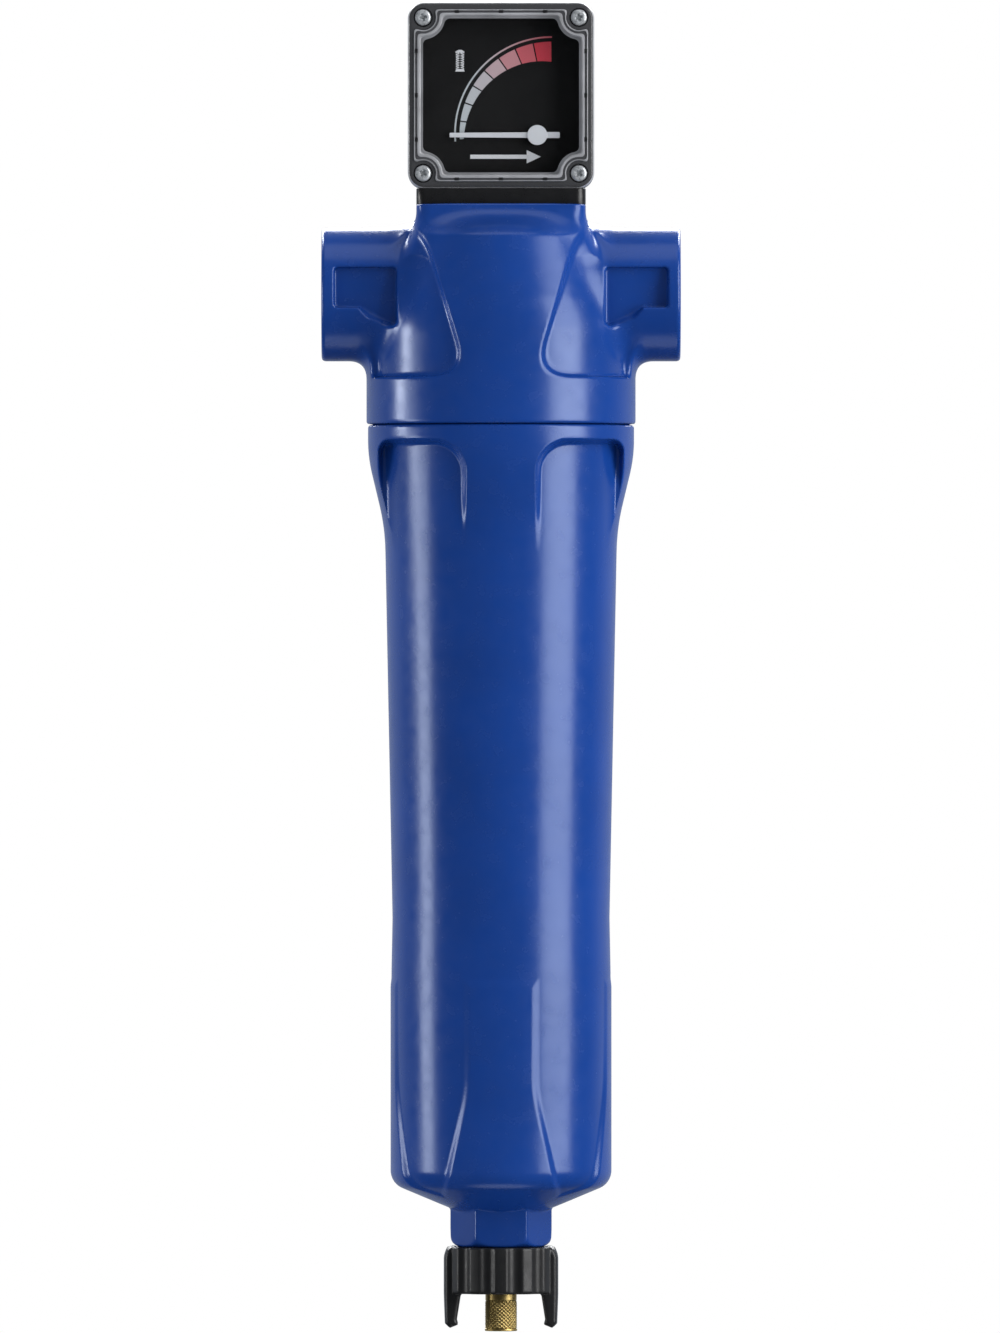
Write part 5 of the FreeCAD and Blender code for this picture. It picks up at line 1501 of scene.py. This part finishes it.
def studio_world():
    """White for the camera, a pale backdrop for gloss from behind, and a dim room elsewhere."""
    world = bpy.data.worlds.new("studio")
    bpy.context.scene.world = world
    world.use_nodes = True
    nodes, links = world.node_tree.nodes, world.node_tree.links
    nodes.clear()

    def joined(kind, *sources, **settings):
        """A node whose first inputs are linked to the sources."""
        node = nodes.new(kind)
        for key, value in settings.items():
            setattr(node, key, value)
        for socket, source in zip(node.inputs, sources):
            links.new(source, socket)
        return node

    def faded(source, from_low, from_high, low, high):
        node = joined("ShaderNodeMapRange", source, interpolation_type="SMOOTHSTEP")
        for name, value in (("From Min", from_low), ("From Max", from_high), ("To Min", low), ("To Max", high)):
            node.inputs[name].default_value = value
        return node.outputs["Result"]

    def glow(colour, strength):
        node = nodes.new("ShaderNodeBackground")
        node.inputs["Color"].default_value = (*colour, 1)
        node.inputs["Strength"].default_value = strength
        return node

    ray = nodes.new("ShaderNodeLightPath").outputs
    place = nodes.new("ShaderNodeTexCoord").outputs["Generated"]
    parts = joined("ShaderNodeSeparateXYZ", place).outputs
    behind = faded(parts["Y"], 0.15, 0.75, 0.015, 0.46)
    above = faded(parts["Z"], -0.75, -0.15, 0.12, 1.0)
    backdrop = glow((0.78, 0.87, 1), 1)
    links.new(joined("ShaderNodeMath", behind, above, operation="MULTIPLY").outputs[0],
              backdrop.inputs["Strength"])
    room, white = glow((0.9, 0.95, 1.0), 0.55), glow((1, 1, 1), 1.0)
    shiny = joined("ShaderNodeMath", ray["Is Glossy Ray"], ray["Is Transmission Ray"], operation="MAXIMUM")
    around = joined("ShaderNodeMixShader", shiny.outputs[0], room.outputs[0], backdrop.outputs[0])
    last = joined("ShaderNodeMixShader", ray["Is Camera Ray"], around.outputs[0], white.outputs[0])
    joined("ShaderNodeOutputWorld", last.outputs[0])


class FILTER_OT_stage(bpy.types.Operator):
    """Pale floor, softboxes, white backdrop and the camera"""
    bl_idname = "filter.stage"
    bl_label = "Studio"

    def execute(self, context):
        studio = context.scene.filter_studio
        edge_r, top_z = 600, -2400
        profile = [(0.02, top_z), (edge_r - 10, top_z), (edge_r, top_z - 4), (edge_r, top_z - 20),
                   (0.02, top_z - 20)]
        points, faces = lathe(profile, 128)
        floor = piece("studio_floor", points, faces, [pale_paper()], None)
        middle = (0, 0, -0.145)
        for lamp in (
                ("left_softbox", (-1.6, -0.15, -0.33), (0, 0, -0.33), 0.44, 0.52, studio.left_power),
                ("left_head_softbox", (-1.6, 0.14, 0.06), (0, 0, 0.06), 0.3, 0.26, studio.head_power),
                ("right_head_softbox", (1.74, -0.93, 0.06), (0, 0, 0.06), 0.8, 0.26, studio.head_power / 2),
                ("right_softbox", (1.73, -1.0, 0.6), (0, 0, 0.6), 1.3, 2.4, studio.right_power),
                ("top_softbox", (0.0, -0.3, 1.6), middle, 1.4, 1.0, studio.top_power),
                ("back_softbox", (0.0, 2.0, 0.9), middle, 2.4, 0.6, studio.back_power),
                ("left_rim_softbox", (-1.3, 1.3, 1.6), (0, 0, 0), 0.6, 0.6, studio.rim_power),
                ("right_rim_softbox", (1.3, 1.3, 1.6), (0, 0, 0), 0.6, 0.6, studio.rim_power)):
            softbox(*lamp)
        studio_world()
        data = bpy.data.cameras.new("camera")
        data.lens = studio.lens
        data.sensor_width = 36
        data.clip_end = 50
        camera = placed("camera", data)
        camera_x = -0.0004
        camera.location = (camera_x, -studio.camera_distance, studio.camera_height)
        camera.rotation_euler = (math.pi / 2, 0, 0)
        context.scene.camera = camera
        context.scene.view_settings.view_transform = "Standard"
        return {"FINISHED"}


OPERATORS = (
    FILTER_OT_head, FILTER_OT_port_threads, FILTER_OT_bowl, FILTER_OT_marks, FILTER_OT_grip_nut,
    FILTER_OT_spout, FILTER_OT_gauge_case, FILTER_OT_cover, FILTER_OT_rim_tabs, FILTER_OT_cover_screws,
    FILTER_OT_dial_print, FILTER_OT_pointer, FILTER_OT_inner_pieces, FILTER_OT_stage,
)


class FILTER_PT_panel(bpy.types.Panel):
    """Lists the filter's pieces and sizes"""
    bl_idname = "FILTER_PT_panel"
    bl_label = "Compressed air filter"
    bl_space_type = "VIEW_3D"
    bl_region_type = "UI"
    bl_category = "Air filter"

    def draw(self, context):
        for operator in OPERATORS:
            self.layout.operator(operator.bl_idname)
        for group in (context.scene.filter_sizes, context.scene.filter_colours, context.scene.filter_studio):
            for key in group.bl_rna.properties.keys():
                if key not in ("rna_type", "name"):
                    self.layout.prop(group, key)


CLASSES = (FilterSizes, FilterColours, FilterStudio, *OPERATORS, FILTER_PT_panel)


def register():
    for item in CLASSES:
        bpy.utils.register_class(item)
    bpy.types.Scene.filter_sizes = PointerProperty(type=FilterSizes)
    bpy.types.Scene.filter_colours = PointerProperty(type=FilterColours)
    bpy.types.Scene.filter_studio = PointerProperty(type=FilterStudio)


def unregister():
    del bpy.types.Scene.filter_sizes
    del bpy.types.Scene.filter_colours
    del bpy.types.Scene.filter_studio
    for item in reversed(CLASSES):
        bpy.utils.unregister_class(item)


def main():
    register()
    for operator in OPERATORS:
        getattr(bpy.ops.filter, operator.bl_idname.removeprefix("filter."))()


if __name__ == "__main__":
    main()
